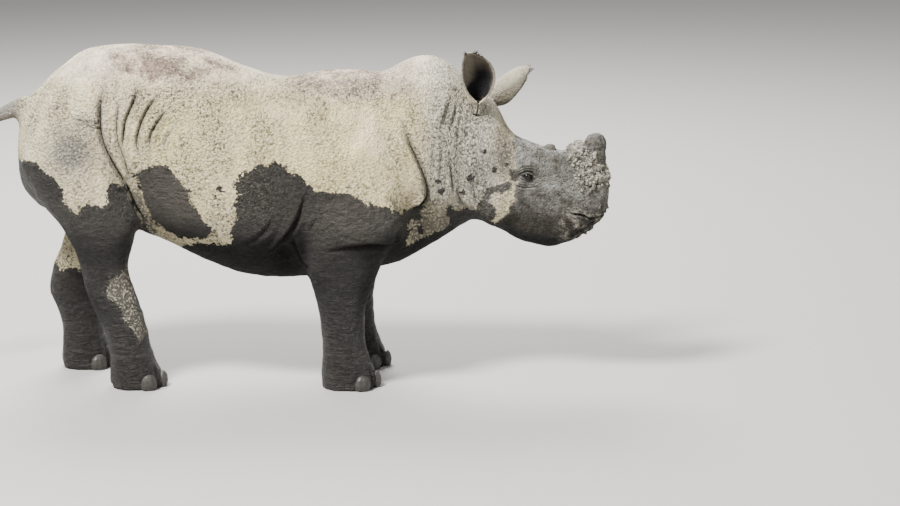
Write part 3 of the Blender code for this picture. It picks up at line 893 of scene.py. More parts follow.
mudMake = {
    "right": [  # wet on the right side
        [(-1020, 770), (-985, 778), (-966, 784), (-942, 788), (-920, 780), (-902, 762), (-890, 747),
         (-868, 734), (-852, 722), (-845, 708), (-840, 690), (-843, 665), (-834, 648), (-823, 641),
         (-805, 622), (-788, 610), (-780, 636), (-770, 645), (-734, 645), (-705, 640), (-682, 647),
         (-692, 664), (-695, 678), (-698, 690), (-689, 702), (-676, 712), (-663, 711), (-640, 704),
         (-622, 660), (-603, 616), (-592, 575), (-560, 535), (-565, 470), (-500, 400), (-450, -100),
         (-1200, -100), (-1200, 770)],
        [(-605, 740), (-590, 752), (-541, 772), (-518, 780), (-498, 776), (-470, 748), (-436, 706),
         (-420, 668), (-395, 620), (-372, 585), (-350, 556), (-356, 536), (-379, 523), (-420, 520),
         (-455, 519), (-485, 528), (-509, 541), (-535, 562), (-559, 590), (-565, 625), (-577, 660),
         (-590, 700)],
        [(-445, 487), (-400, 500), (-345, 503), (-288, 510), (-284, 540), (-282, 568), (-267, 607),
         (-274, 652), (-258, 686), (-276, 705), (-250, 735), (-232, 753), (-205, 772), (-179, 782),
         (-150, 786), (-123, 791), (-100, 766), (-75, 758), (-44, 748), (-30, 718), (-5, 690), (61, 695),
         (114, 685), (157, 659), (170, 643), (203, 647), (236, 638), (272, 603), (292, 575), (300, 530),
         (300, 450), (300, -100), (-400, -100), (-470, 300), (-520, 440)],
        [(276, 600), (300, 612), (322, 622), (350, 640), (367, 632), (350, 604), (318, 578), (284, 540),
         (268, 520), (262, 560)],
        [(318, 598), (340, 600), (352, 580), (345, 562), (322, 566)],
        [(330, 550), (350, 552), (358, 532), (350, 510), (332, 520)],
        [(434, 598), (448, 624), (458, 606), (466, 586), (450, 572), (438, 576)],
        [(287, 480), (342, 490), (412, 522), (465, 556), (517, 572), (560, 578), (560, 480), (420, 200),
         (280, 300)],
        [(440, 585), (500, 598), (548, 590), (600, 560), (700, 528), (780, 505), (850, 512), (910, 540),
         (940, 560), (950, 400), (500, 400), (450, 520)],
    ],
    "cheek": [  # brown smears behind the face
        [(556, 640), (566, 664), (590, 686), (620, 700), (655, 706), (668, 690), (664, 672), (632, 664),
         (600, 660), (590, 640), (612, 612), (618, 590), (600, 560), (540, 540), (548, 600)],
        [(650, 745), (668, 748), (690, 740), (690, 700), (668, 706), (656, 722)],
        [(590, 762), (612, 768), (618, 752), (598, 748)],
        [(625, 776), (652, 780), (655, 766), (632, 764)],
    ],
    "dots": [  # x, z, radius
        (519, 711, 7), (495, 660, 6), (418, 670, 7), (404, 706, 3), (606, 742, 5), (628, 762, 4),
        (645, 758, 4), (-330, 676, 7), (-318, 700, 4), (-420, 690, 5), (-455, 716, 4), (570, 800, 2),
    ],
    "left": [  # wet on the left side
        [(-1200, 370), (-960, 355), (-920, 380), (-890, 350), (-860, 365), (-830, 350), (-790, 400),
         (-740, 470), (-690, 480), (-650, 540), (-600, 560), (-560, 500), (-450, 380), (-400, -100),
         (-1200, -100)],
        [(-560, 800), (-500, 830), (-440, 800), (-400, 740), (-410, 680), (-360, 620), (-400, 570),
         (-470, 580), (-520, 630), (-570, 690)],
        [(-500, 470), (-400, 520), (-330, 500), (-280, 560), (-240, 640), (-180, 700), (-100, 690),
         (-60, 640), (0, 620), (50, 660), (80, 740), (140, 760), (190, 700), (230, 640), (290, 600),
         (350, 600), (430, 620), (500, 590), (560, 480), (420, -100), (-400, -100), (-470, 300)],
    ],
    "dryRight": [  # left pale inside the wet parts
        [(-690, 389), (-665, 401), (-644, 411), (-620, 400), (-606, 282), (-570, 190), (-600, 170),
         (-648, 239), (-666, 288), (-706, 323)],
        [(588, 668), (640, 672), (665, 650), (655, 625), (640, 594), (628, 600), (622, 632), (600, 650)],
    ],
    "pink": [  # bare reddish hide through the dust, over the loins and the withers
        [(-600, 1118), (-580, 1090), (-567, 1072), (-554, 1037), (-520, 1050), (-481, 1060), (-420, 1042),
         (-396, 1046), (-393, 1063), (-439, 1084), (-483, 1098), (-508, 1120), (-560, 1135)],
        [(-420, 1128), (-354, 1108), (-308, 1090), (-260, 1063), (-319, 1074), (-385, 1094)],
    ],
    "pinkThin": [  # the same, fainter and wider
        [(-130, 1024), (-58, 1004), (26, 996), (109, 1000), (182, 1002), (226, 1024), (221, 1048),
         (174, 1070), (40, 1080), (-61, 1050)],
        [(-700, 1120), (-670, 1085), (-600, 1070), (-560, 1045), (-390, 1045), (-340, 1080), (-400, 1150),
         (-550, 1160)],
    ],
    "face": [  # the damp grey face
        [(640, 900), (657, 836), (668, 808), (665, 771), (679, 740), (672, 716), (684, 700), (668, 672),
         (672, 640), (652, 602), (636, 584), (600, 555), (520, 500), (500, 400), (1200, 400), (1200, 1000),
         (660, 1000)],
    ],
}


# how far inside an outline each place lies, in metres, and less than nothing outside
def insideBy(outline, x, z):
    points = np.array(outline) / 1000
    following = np.roll(points, -1, axis=0)
    step = following - points
    offsetX, offsetZ = x[:, None] - points[:, 0], z[:, None] - points[:, 1]
    t = np.clip((offsetX * step[:, 0] + offsetZ * step[:, 1]) / (step**2).sum(1), 0.0, 1.0)
    distance = np.sqrt((offsetX - t * step[:, 0]) ** 2 + (offsetZ - t * step[:, 1]) ** 2).min(1)
    crosses = (points[:, 1] > z[:, None]) != (following[:, 1] > z[:, None])
    rise = np.where(step[:, 1] == 0, 1e-9, step[:, 1])
    left = x[:, None] < points[:, 0] + offsetZ / rise * step[:, 0]
    inside = (crosses & left).sum(1) % 2 == 1
    return np.where(inside, distance, -distance)


def insideAny(name):
    return np.max([insideBy(outline, x, z) for outline in mudMake[name]], axis=0)


mudReach = 0.08  # how far from a border the distance to it is kept


def keptNear(distance):
    return np.clip(distance, -mudReach, mudReach)


# what is on the right side fades into what is on the left
def bothSides(right, left=0.0):
    return right * (1 - onLeft) + left * onLeft


x, y, z = places.T
onLeft = smooth(-0.05, 0.05, y)
wetRight = insideAny("right")
for dot in mudMake["dots"]:
    dotX, dotZ, radius = np.array(dot) / 1000
    wetRight = np.maximum(wetRight, radius + 0.004 - np.hypot(x - dotX, z - dotZ))
wetRight = np.minimum(wetRight, -insideAny("dryRight"))
wetMud = keptNear(bothSides(wetRight, insideAny("left")))
cheekMud = insideAny("cheek")
faceRight = np.maximum(insideAny("face"), cheekMud)
faceLeft = insideBy(mudMake["face"][0], x - 0.012 * np.sin(40 * z), z + 0.015)
faceLeft = np.maximum(faceLeft, insideBy(mudMake["cheek"][0], x, z))
faceMud = keptNear(bothSides(faceRight, faceLeft))
pinkPatch = keptNear(np.maximum(insideAny("pink"), np.minimum(insideAny("pinkThin"), 0.003)))
lipRough = noiseAt(places, 0.028, 13.0)

# Soft marks: the most that a mark reaches, then along what it fades, where it is nothing there and
# where it is whole

markMake = {
    "horn": (1.0, ("bridge", 0.850, 0.905), ("z", 0.655, 0.700), ("muzzle", 0.02, 0.05)),
    "lips": (0.72, ("x", 0.790, 0.850), ("z", 0.475, 0.520), ("z", 0.640, 0.610), ("lipRough", -0.30, 0.10)),
    "neck": (1.0, ("x", 0.30, 0.42), ("x", 0.66, 0.56), ("z", 0.55, 0.65)),
    "shanks": (1.0, ("z", 0.36, 0.30)),
    "legs": (0.4, ("z", 0.62, 0.50)),
    "tail": (0.8, ("x", -0.98, -1.03)),
    "tailRoot": (1.0, ("x", -0.985, -1.025), ("aside", 0.070, 0.045), ("z", 0.83, 0.87)),
    "tailRod": (1.0, ("x", -1.04, -1.06)),
    "backDust": (1.0, ("back", 1.00, 1.08), ("x", 0.42, 0.30)),
    "legMud": (1.0, ("z", 0.50, 0.42)),
    "throatMud": (0.9, ("z", 0.67, 0.56), ("x", 0.26, 0.33), ("x", 0.60, 0.54)),
    "flankStrip": (0.95, ("z", 0.74, 0.66), ("z", 0.48, 0.54)),
    "barrel": (1.0, ("x", -0.72, -0.50), ("x", 0.42, 0.28), ("z", 1.06, 0.96), ("z", 0.56, 0.66)),
    "low": (0.30, ("z", 0.84, 0.72)),
    "lower": (0.70, ("z", 0.70, 0.54)),
    "cheek": (0.75, ("cheekMud", -0.010, 0.004)),
    # painted shade on surfaces that face down, low on the body
    "under": (1.0, ("facing", 0.10, -0.55), ("z", 0.16, 0.30), ("z", 0.62, 0.48)),
    "spine": (0.5, ("z", 1.00, 1.06)),
    "chin": (0.8, ("x", 0.855, 0.900), ("z", 0.630, 0.590)),
    # in the ears, along the share of the length, the reach in radii of the curl and the turn round it; wall,
    # floor, root and the tube give the painted shade deep in the hollow
    "deepest": (0.46, ("share", 0.15, 0.50)),
    "wall": (0.6, ("edge", 1.04, 0.84)),
    "floor": (0.4, ("turned", 0.85, 0.25), ("share", 1.0, 0.50)),
    "root": (0.4, ("share", 0.40, 0.20), ("share", 0.10, 0.18)),
    "facesIn": (1.0, ("inward", -0.1, 0.35)),
    "tube": (1.0, ("reach", 0.95, 0.80)),
    "tubeEnd": (1.0, ("reach", 0.80, 0.65)),
    "dullRim": (0.85, ("edge", 0.80, 0.97), ("share", 0.15, 0.30)),
    # lumps and clods, the painted shade in their seams, and painted shade over the far ear's lower half
    "wetLumps": (1.0, ("wetMud", -0.01, 0.01)),
    "clotEdge": (1.0, ("wetMud", -0.02, 0.005)),
    "cakeSeam": (1.3, ("clods", -0.10, -0.75)),
    "clotSeam": (0.6, ("clods", -0.20, -0.90)),
    "underEar": (1.1, ("below", -0.008, 0.014)),
    "hornFoot": (0.0170, ("fromHorn", 0.078, 0.035), ("z", 0.735, 0.765)),
    # where clods lie, and how damp they are; lower down they are darker as painted shade
    "hornClods": (1.0, ("z", 0.62, 0.68)),
    "chinClods": (0.12, ("x", 0.84, 0.90), ("z", 0.60, 0.55), ("patchy", 0.0, 0.5)),
    "edgeClods": (0.14, ("fromEdge", 0.016, 0.004), ("z", 0.45, 0.55), ("patchy", -0.1, 0.35)),
    "dampWet": (1.0, ("intoWet", 0.0, 0.01)),
    "lowClodShade": (0.55, ("z", 0.73, 0.62)),
}
fadeAlong = {  # what each place of the skin has to fade along
    "x": x,
    "z": z,
    "aside": np.abs(y),
    "bridge": x + 0.35 * (z - 0.70),
    "muzzle": x - 0.80,
    "back": z + 0.05 * smooth(-0.1, 0.1, x),
    "facing": normals[:, 2],
    "cheekMud": cheekMud,
    "lipRough": lipRough,
}


def fading(name):
    most, *fades = markMake[name]
    return math.prod((smooth(low, high, fadeAlong[way]) for way, low, high in fades), start=most)


# Soft round marks, seen from the side: x and z, the reach along each, and the most they reach

blotMake = {
    "neckDust": (0.550, 0.740, 0.060, 0.110, 1.1),
    "haunchDust": (-0.815, 0.820, 0.090, 0.085, 1.2),
    "cheekDust": (0.625, 0.770, 0.055, 0.100, 0.55),
    "jowl": (0.560, 0.720, 0.060, 0.090, 1.0),
    "temple": (0.640, 0.770, 0.035, 0.080, 1.5),
    # painted shade in the armpit
    "armpit": (-0.105, 0.450, 0.045, 0.065, 1.0),
    "shoulder": (0.130, 0.840, 0.130, 0.130, 0.65),
    "brow": (0.700, 0.830, 0.045, 0.045, 0.24),
    "paleFlank": (-0.475, 0.67, 0.14, 0.16, 1.0),
    "paleArm": (0.13, 0.58, 0.17, 0.12, 0.90),
    "paleThigh": (-0.75, 0.56, 0.14, 0.10, 0.35),
    "clots": (-0.215, 0.70, 0.090, 0.13, 1.0),
}


def blot(name):
    atX, atZ, reachX, reachZ, most = blotMake[name]
    return most * np.exp(-(((x - atX) / reachX) ** 2) - ((z - atZ) / reachZ) ** 2)


inEars = inEar["right"] | inEar["left"]
onTail = np.maximum(fading("tailRoot"), fading("tailRod"))
caked = np.clip(np.maximum(fading("horn"), fading("lips")), 0, 1)
neckGrain = fading("neck") * np.where(inEars, 0.25, 1.0)
ribbed = fading("shanks") + fading("legs") + fading("tail")
pinkDust = fading("backDust") + blot("neckDust")
# grey dust on the haunch, tail, cheek and ears; over the far ear mostly painted shade
greyDustAndShade = blot("haunchDust") + onTail + blot("cheekDust") + 0.30 * inEar["right"] + 0.70 * inEar["left"]
greyDustAndShade = np.clip(greyDustAndShade, 0, 1)
alongFold = x + 0.607 + 0.34 * (z - 0.69)
strip = fading("flankStrip") * np.exp(-((alongFold / 0.026) ** 2))
# darker on the jowl and temple, and painted shade over the far ear
dusky = np.maximum(0.55 * (blot("jowl") + blot("temple")), 0.35 * inEar["left"])
thinMud = np.maximum(bothSides(fading("legMud")), fading("throatMud"))
for where in (bothSides(strip), dusky, 0.25 * onTail):
    thinMud = np.maximum(thinMud, where)
warm = fading("barrel")
lowDark = np.maximum(fading("low") + fading("lower"), bothSides(fading("cheek")))
# painted shade under the body and in the armpit, laid in the wet mud's colour
under = np.maximum(fading("under"), blot("armpit"))
granular = (1.0 - blot("shoulder")) * (1.0 - fading("spine")) * (1.0 - 0.4 * onTail) * (1.0 - 0.5 * greyDustAndShade)
granular *= (1.0 - 0.7 * caked) * np.where(inEars, 0.3, 1.0)
# painted shade round each eye
for spot in eyeSpots.values():
    fromEye = np.linalg.norm(places - spot["middle"], axis=1)
    lowDark = np.maximum(lowDark, 0.95 * np.exp(-((fromEye / 0.030) ** 2)))
lowDark = np.maximum(lowDark, blot("brow"))
clotted = bothSides(blot("clots"))
# paler wet mud on the upper parts of its patches and on the clots: partly its own tone, partly painted sheen
wetPale = blot("paleFlank") + blot("paleArm") + blot("paleThigh") + 0.6 * clotted
clotted += fading("chin")

earInside = np.zeros(len(places))
earDeep = np.zeros(len(places))
for label in sides:
    share, reach, offset = earShare(places, label)
    fadeAlong.update(share=share, reach=reach)
    rows = np.array(earMake["rows"])
    wrap = np.radians(np.interp(share, rows[:, 0], rows[:, 2]))
    turn = np.arctan2(offset[:, 1], -offset[:, 0]) / wrap
    forward = fading("deepest") - 0.06  # the hollow is deepest before the middle
    root, up, opens, across = earAxes(label)
    towards = np.stack([normals @ opens, normals @ across], 1)
    fadeAlong["turned"] = np.abs(turn + sides[label] * forward)
    fadeAlong["edge"] = np.abs(turn)
    fadeAlong["inward"] = -(towards * offset).sum(1) / np.maximum(np.hypot(*offset.T), 1e-6)
    onThis = onEar(places, label, 0.02)
    inTube = fading("tube") * (share > -0.05) * (share < 0.40)  # the bottom of the hollow
    inTube = np.maximum(inTube, fading("tubeEnd") * (share > -0.35) * (share < 0.0))
    # painted shade, darker deep in the ear's hollow
    deep = np.clip(fading("wall") + fading("floor") + fading("root"), 0, 1) * onThis
    earDeep = np.maximum(earDeep, np.maximum(deep, inTube))
    earInside = np.maximum(earInside, np.maximum(fading("facesIn") * onThis * (reach < 1.02), inTube))
    thinMud = np.maximum(thinMud, fading("dullRim") * onThis)

# Lumps of dried mud over everything, coarse clods where it is caked

lumpMake = {  # of each noise the wave, the seed and the height
    "hide": ((0.060, 3.0, 0.0011), (0.024, 9.0, 0.0008)),
    "clods": ((0.020, 5.0, 1.0), (0.010, 7.0, 0.6)),
    "clodHeight": 0.0085,
    "horn": 0.896,  # where along x the horn stands
}


def lumpy(name):
    return sum(rise * noiseAt(places, wave, seed) for wave, seed, rise in lumpMake[name])


lumps, clods = lumpy("hide"), lumpy("clods")
root, up, _, _ = earAxes("left")
fadeAlong["wetMud"], fadeAlong["clods"] = wetMud, clods
fadeAlong["below"] = (x - root[0]) * up[2] - (z - root[2]) * up[0]
fadeAlong["fromHorn"] = np.hypot(x - lumpMake["horn"], 0.9 * y)
clots = np.clip(clotted, 0, 1) * fading("clotEdge")
height += lumps * np.where(onEitherEar(places), 0.25, 1.0 + fading("wetLumps"))
height += lumpMake["clodHeight"] * (caked + clots) * clods + fading("hornFoot")
# painted shade in the seams of caked mud and clots, and over the lower half of the far ear
seamShade = (fading("cakeSeam") * caked, fading("clotSeam") * clots, fading("underEar") * inEar["left"])
creaseShade = np.maximum(creaseShade, np.maximum.reduce(seamShade))
places += normals * height[:, None]
print("folds, toes and mud laid")

# Eyelids: the skin dips behind the eyeball in an almond opening, and hugs it round the rim

lidMake = {
    "opening": (0.0165, 0.0092),  # half length and half height
    "corner": 1.7,  # 2 would be an oval, less is an almond
    "tilt": -0.10,  # the front corner lies lower
    "thick": 0.0024,  # upper lid over the eyeball
    "within": 0.0070,  # how far the skin dips behind the eyeball
    "atMost": 0.0045,  # how far a lid is pulled in
    "fold": 0.0034,  # depth of the fold above
    "reach": 0.040,
    "upper": (-0.2, 0.6),  # in half heights, from where to where the lower lid becomes the upper
    "rim": (0.80, 1.04),  # in openings, from the ball out to the lid
    "outward": (1.25, 2.35),  # from the lid out to the hide as it was
    "foldAt": (1.85, 0.16),  # where the fold lies, and how far it reaches
    # where the painted shade round the opening fades out, in openings
    "wetRimAndLidShade": (0.98, 1.34),
}
for label in sides:
    spot = eyeSpots[label]
    ahead, up, out = eyeAxes(label)
    near = np.flatnonzero(np.linalg.norm(places - spot["middle"], axis=1) < 0.075)
    offset = places[near] - spot["middle"]
    u, v, w = offset @ ahead, offset @ up, offset @ out
    tiltedV = v - lidMake["tilt"] * u
    halfLength, halfHeight = lidMake["opening"]
    power = lidMake["corner"]
    share = ((np.abs(u) / halfLength) ** power + (np.abs(tiltedV) / halfHeight) ** power) ** (1 / power)
    across = np.hypot(u, v)
    ball = np.sqrt(np.maximum(spot["radius"] ** 2 - across**2, 0.0))
    upper = smooth(*lidMake["upper"], tiltedV / halfHeight)
    lid = np.maximum(ball + lidMake["thick"] * (0.75 + 0.75 * upper), w - lidMake["atMost"])
    rim = smooth(*lidMake["rim"], share)
    outward = smooth(*lidMake["outward"], share)
    target = (ball - lidMake["within"]) * (1 - rim) + (lid * (1 - outward) + w * outward) * rim
    foldAt, foldReach = lidMake["foldAt"]
    fold = np.exp(-(((share - foldAt) / foldReach) ** 2)) * (0.35 + 0.65 * upper)
    target -= lidMake["fold"] * fold
    fade = 1.0 - smooth(0.75, 1.0, across / lidMake["reach"])
    inFront = w > -0.01
    places[near] += out * ((target - w) * fade * inFront)[:, None]
    # painted shade: a dark ring round the opening where the lids meet the ball, and in the fold above it
    wetRimAndLidShade = (1 - smooth(*lidMake["wetRimAndLidShade"], share)) * inFront
    creaseShade[near] = np.maximum.reduce((creaseShade[near], 0.75 * fold * fade, 1.6 * wetRimAndLidShade))

writePlaces(mesh, bent(places))
soles = readPlaces(mesh)
soles[:, 2] = np.maximum(soles[:, 2], 0.0)
writePlaces(mesh, soles)
hideMarks = {
    "foldSide": foldSide, "foldAway": foldAway, "creaseShade": creaseShade,  # folds, and the painted shade in them
    "wetMud": wetMud, "faceMud": faceMud, "pinkPatch": pinkPatch,  # metres inside an outline
    "wetPale": wetPale, "clotted": np.clip(clotted, 0, 1), "under": under, "ribbed": ribbed,  # the wet mud, its paler parts partly painted sheen, and painted shade under the body
    "pinkDust": pinkDust, "greyDustAndShade": greyDustAndShade, "thinMud": thinMud, "warm": warm,  # the dry mud
    "granular": granular, "neckGrain": neckGrain,
    "lowDark": lowDark, "caked": caked, "earInside": earInside, "earDeep": earDeep,  # head
}
for name, values in hideMarks.items():
    setAttribute(mesh, name, values)
form = bmesh.new()
form.from_mesh(mesh)
bmesh.ops.triangulate(form, faces=form.faces)
form.to_mesh(mesh)
form.free()
smoothShaded(mesh)
print("eyelids shaped:", len(mesh.polygons), "triangles")

# Materials

mudColours = {
    "dryLight": "#f6e7c0",  # dried mud where it is thick and palest
    "dryTan": "#e4d3a7",
    "dryYellow": "#ebd89c",
    "pink": "#d0bbae",  # thin reddish dust on the back
    "pinkDark": "#705a4d",
    "top": "#f9efd4",  # painted highlight on the granules' tops
    # painted shade in the seams between granules
    "seam": "#6a6459",
    "ash": "#cbc8be",  # the neck's dust
    "foldShade": "#a39f94",  # painted shade, greyer, beside folds
    "grey": "#6e6a65",  # thin dust over bare hide, and painted shade over the far ear
    # thin wet mud, and painted shade over the far ear
    "thin": "#57534c",
    "wetDark": "#161412",
    "wetMid": "#2c2824",
    # paler wet mud, partly painted sheen
    "wetPale": "#4d4840",
    "crumb": "#8b867b",  # half dry bits on the wet mud, and painted highlights on its ridges
    "under": "#050404",  # painted shade on surfaces that face down and in the armpit
    "faceGrey": "#b6b3ab",
    "faceBrown": "#565246",
    # painted shade round the eyes, and the face darker towards the bottom
    "faceLow": "#322d26",
    # caked mud, darker in the gaps between lumps and paler on their tops: painted shade and highlight
    "caked": "#4b4841",
    "cakedPale": "#968f82",
    # painted shade in creases, folds and seams
    "creaseShade": "#1b1917",
    # the ear's inside, darker towards the depth of its hollow as painted shade
    "earRim": "#746d61",
    "earMid": "#6c6458",
    "earDeep": "#0d0b0c",
}
hideGrain = {  # lumps per metre, detail, roughness, distortion, and how the pattern lies
    "broad": (4.5, 4.0, 0.5, 0.0, "plain"),  # 220 mm
    "mottle": (24.0, 6.0, 0.65, 0.0, "plain"),
    "blots": (62.0, 5.0, 0.7, 0.0, "plain"),
    "grain": (92.0, 4.0, 0.66, 0.0, "plain"),
    "crumbs": (125.0, 2.0, 0.5, 0.0, "plain"),  # 8 mm
    "bands": (13.0, 2.0, 0.5, 0.0, "upright"),
    "streaks": (130.0, 3.0, 0.5, 0.8, "level"),
    "wrinkles": (74.0, 3.0, 0.5, 1.6, "level"),
    "grit": (165.0, 2.5, 0.7, 0.0, "shaken"),
    "tallGrit": (190.0, 2.5, 0.7, 0.0, "tall"),
}
hideRange = {  # what it reads, where it starts and where it is full, and what it gives at either
    "pricks": ("cells", 0.38, 0.14, 0.0, 1.0),
    "gather": ("bands", 0.40, 0.64, 0.12, 1.0),
    "cracked": ("crackCells", 0.10, 0.02, 0.0, 1.0),
    "notSmooth": ("mottle", 0.38, 0.56, 0.25, 1.0),
    "wet": ("wetEdge", -0.0006, 0.0012, 0.0, 1.0),
    "face": ("faceEdge", -0.0020, 0.0060, 0.0, 1.0),
    "pinkArea": ("pinkEdge", -0.004, 0.010, 0.0, 1.0),
    "pinkThin": ("blots", 0.35, 0.60, 0.72, 1.0),
    "tan": ("mottle", 0.36, 0.66, 0.0, 1.0),
    "yellow": ("broad", 0.34, 0.62, 0.25, 1.0),
    "blotted": ("blots", 0.38, 0.60, 0.0, 1.0),
    # painted shade in the granules' seams, painted highlight on their tops
    "seamed": ("granules", 0.48, 0.31, 0.0, 0.90),
    "topped": ("granules", 0.50, 0.66, 0.0, 0.70),
    "banded": ("bands", 0.36, 0.62, 0.55, 1.2),
    # painted shade, greyer, beside folds
    "nearFold": ("foldAway", 0.020, 0.003, 0.0, 0.60),
    "damp": ("grain", 0.38, 0.64, 0.0, 1.0),
    "streaked": ("streaks", 0.20, 0.70, 0.0, 1.0),
    "wetRimAndLidShade": ("wetEdge", 0.016, 0.002, 0.0, 0.45),
    "crumbTops": ("granules", 0.54, 0.66, 0.0, 0.8),
    # painted highlight on the ridges of the wet mud
    "wrinkleTops": ("wrinkles", 0.50, 0.78, 0.0, 0.14),
    "speckle": ("grain", 0.30, 0.70, 0.62, 1.26),
    # painted highlight on the caked mud's lumps, over painted shade in the gaps
    "lumpTops": ("granules", 0.38, 0.60, 0.0, 1.0),
    # painted shade deep in the ear's hollow
    "earWall": ("earDeep", 0.05, 0.55, 0.0, 1.0),
    "earPit": ("earDeep", 0.60, 1.0, 0.0, 1.0),
    # painted shade: a dark line along the bottom of each fold
    "foldLine": ("fromFold", 0.0054, 0.0026, 0.0, 1.0),
    "satin": ("blots", 0.3, 0.7, 0.32, 0.60),
}
hideProducts = [  # name, and the two that are multiplied
    ("pores", "pricks", "gathered"),
    ("cracks", "cracked", "neckGrain"),
    ("cracks", "cracks", "notSmooth"),
    ("rugged", "banded", "granular"),
    ("pinkBare", "pinkArea", "pinkThin"),
    ("warmth", "yellow", "warm"),
    ("pinkness", "pinkDust", "blotted"),
    ("greyness", "greyDustAndShade", 0.95),
    ("ashen", "neckGrain", 0.65),
    ("seamShade", "seamed", "rugged"),
    ("topHighlight", "topped", "rugged"),
    # streaks of paler wet mud, partly painted sheen
    ("drying", "streaked", "wetPale"),
    ("crumbly", "clotted", 0.45),
    ("clots", "granules", "clotted"),
    ("ribs", "wrinkles", "ribbed"),
    ("faceRibs", "wrinkles", "face"),
]
# painted light in these coats: shade beside folds and in the granules' seams, highlight on their tops; sheen,
# ridge highlights and shade under the body on the wet mud; shade round the eyes, in the caked mud's gaps and
# deep in the ears
hideCoats = {  # a ground colour, and what is laid over it: where, and in which colour
    "dry": ["dryTan", ("tan", "dryLight"), ("warmth", "dryYellow"), ("pinkness", "pink"),
            ("pinkBare", "pinkDark"), ("greyness", "grey"), ("ashen", "ash"), ("thinMud", "thin"),
            ("nearFold", "foldShade"), ("topHighlight", "top"), ("seamShade", "seam")],
    "wet": ["wetDark", ("damp", "wetMid"), ("drying", "wetPale"), ("halfDry", "crumb"),
            ("wrinkleTops", "crumb"), ("under", "under")],
    "face": ["faceGrey", ("tan", "faceBrown"), ("faceShade", "faceLow")],
    "caked": ["caked", ("lumpTops", "cakedPale")],
    "ear": ["earRim", ("earWall", "earMid"), ("earPit", "earDeep")],
}
mathKind, mixKind, noiseKind = "ShaderNodeMath", "ShaderNodeMix", "ShaderNodeTexNoise"
rangeKind, cellKind, fieldKind = "ShaderNodeMapRange", "ShaderNodeTexVoronoi", "ShaderNodeAttribute"
vectorKind, mappingKind = "ShaderNodeVectorMath", "ShaderNodeMapping"
times, plus, timesPlus = {"operation": "MULTIPLY"}, {"operation": "ADD"}, {"operation": "MULTIPLY_ADD"}
minus, most, scaled = {"operation": "SUBTRACT"}, {"operation": "MAXIMUM"}, {"operation": "SCALE"}
numberMix = {"data_type": "FLOAT"}  # its sockets: 0 factor, 2 and 3 the numbers
colourMix = {"data_type": "RGBA"}  # its sockets: 0 factor, 6 and 7 the colours, output 2


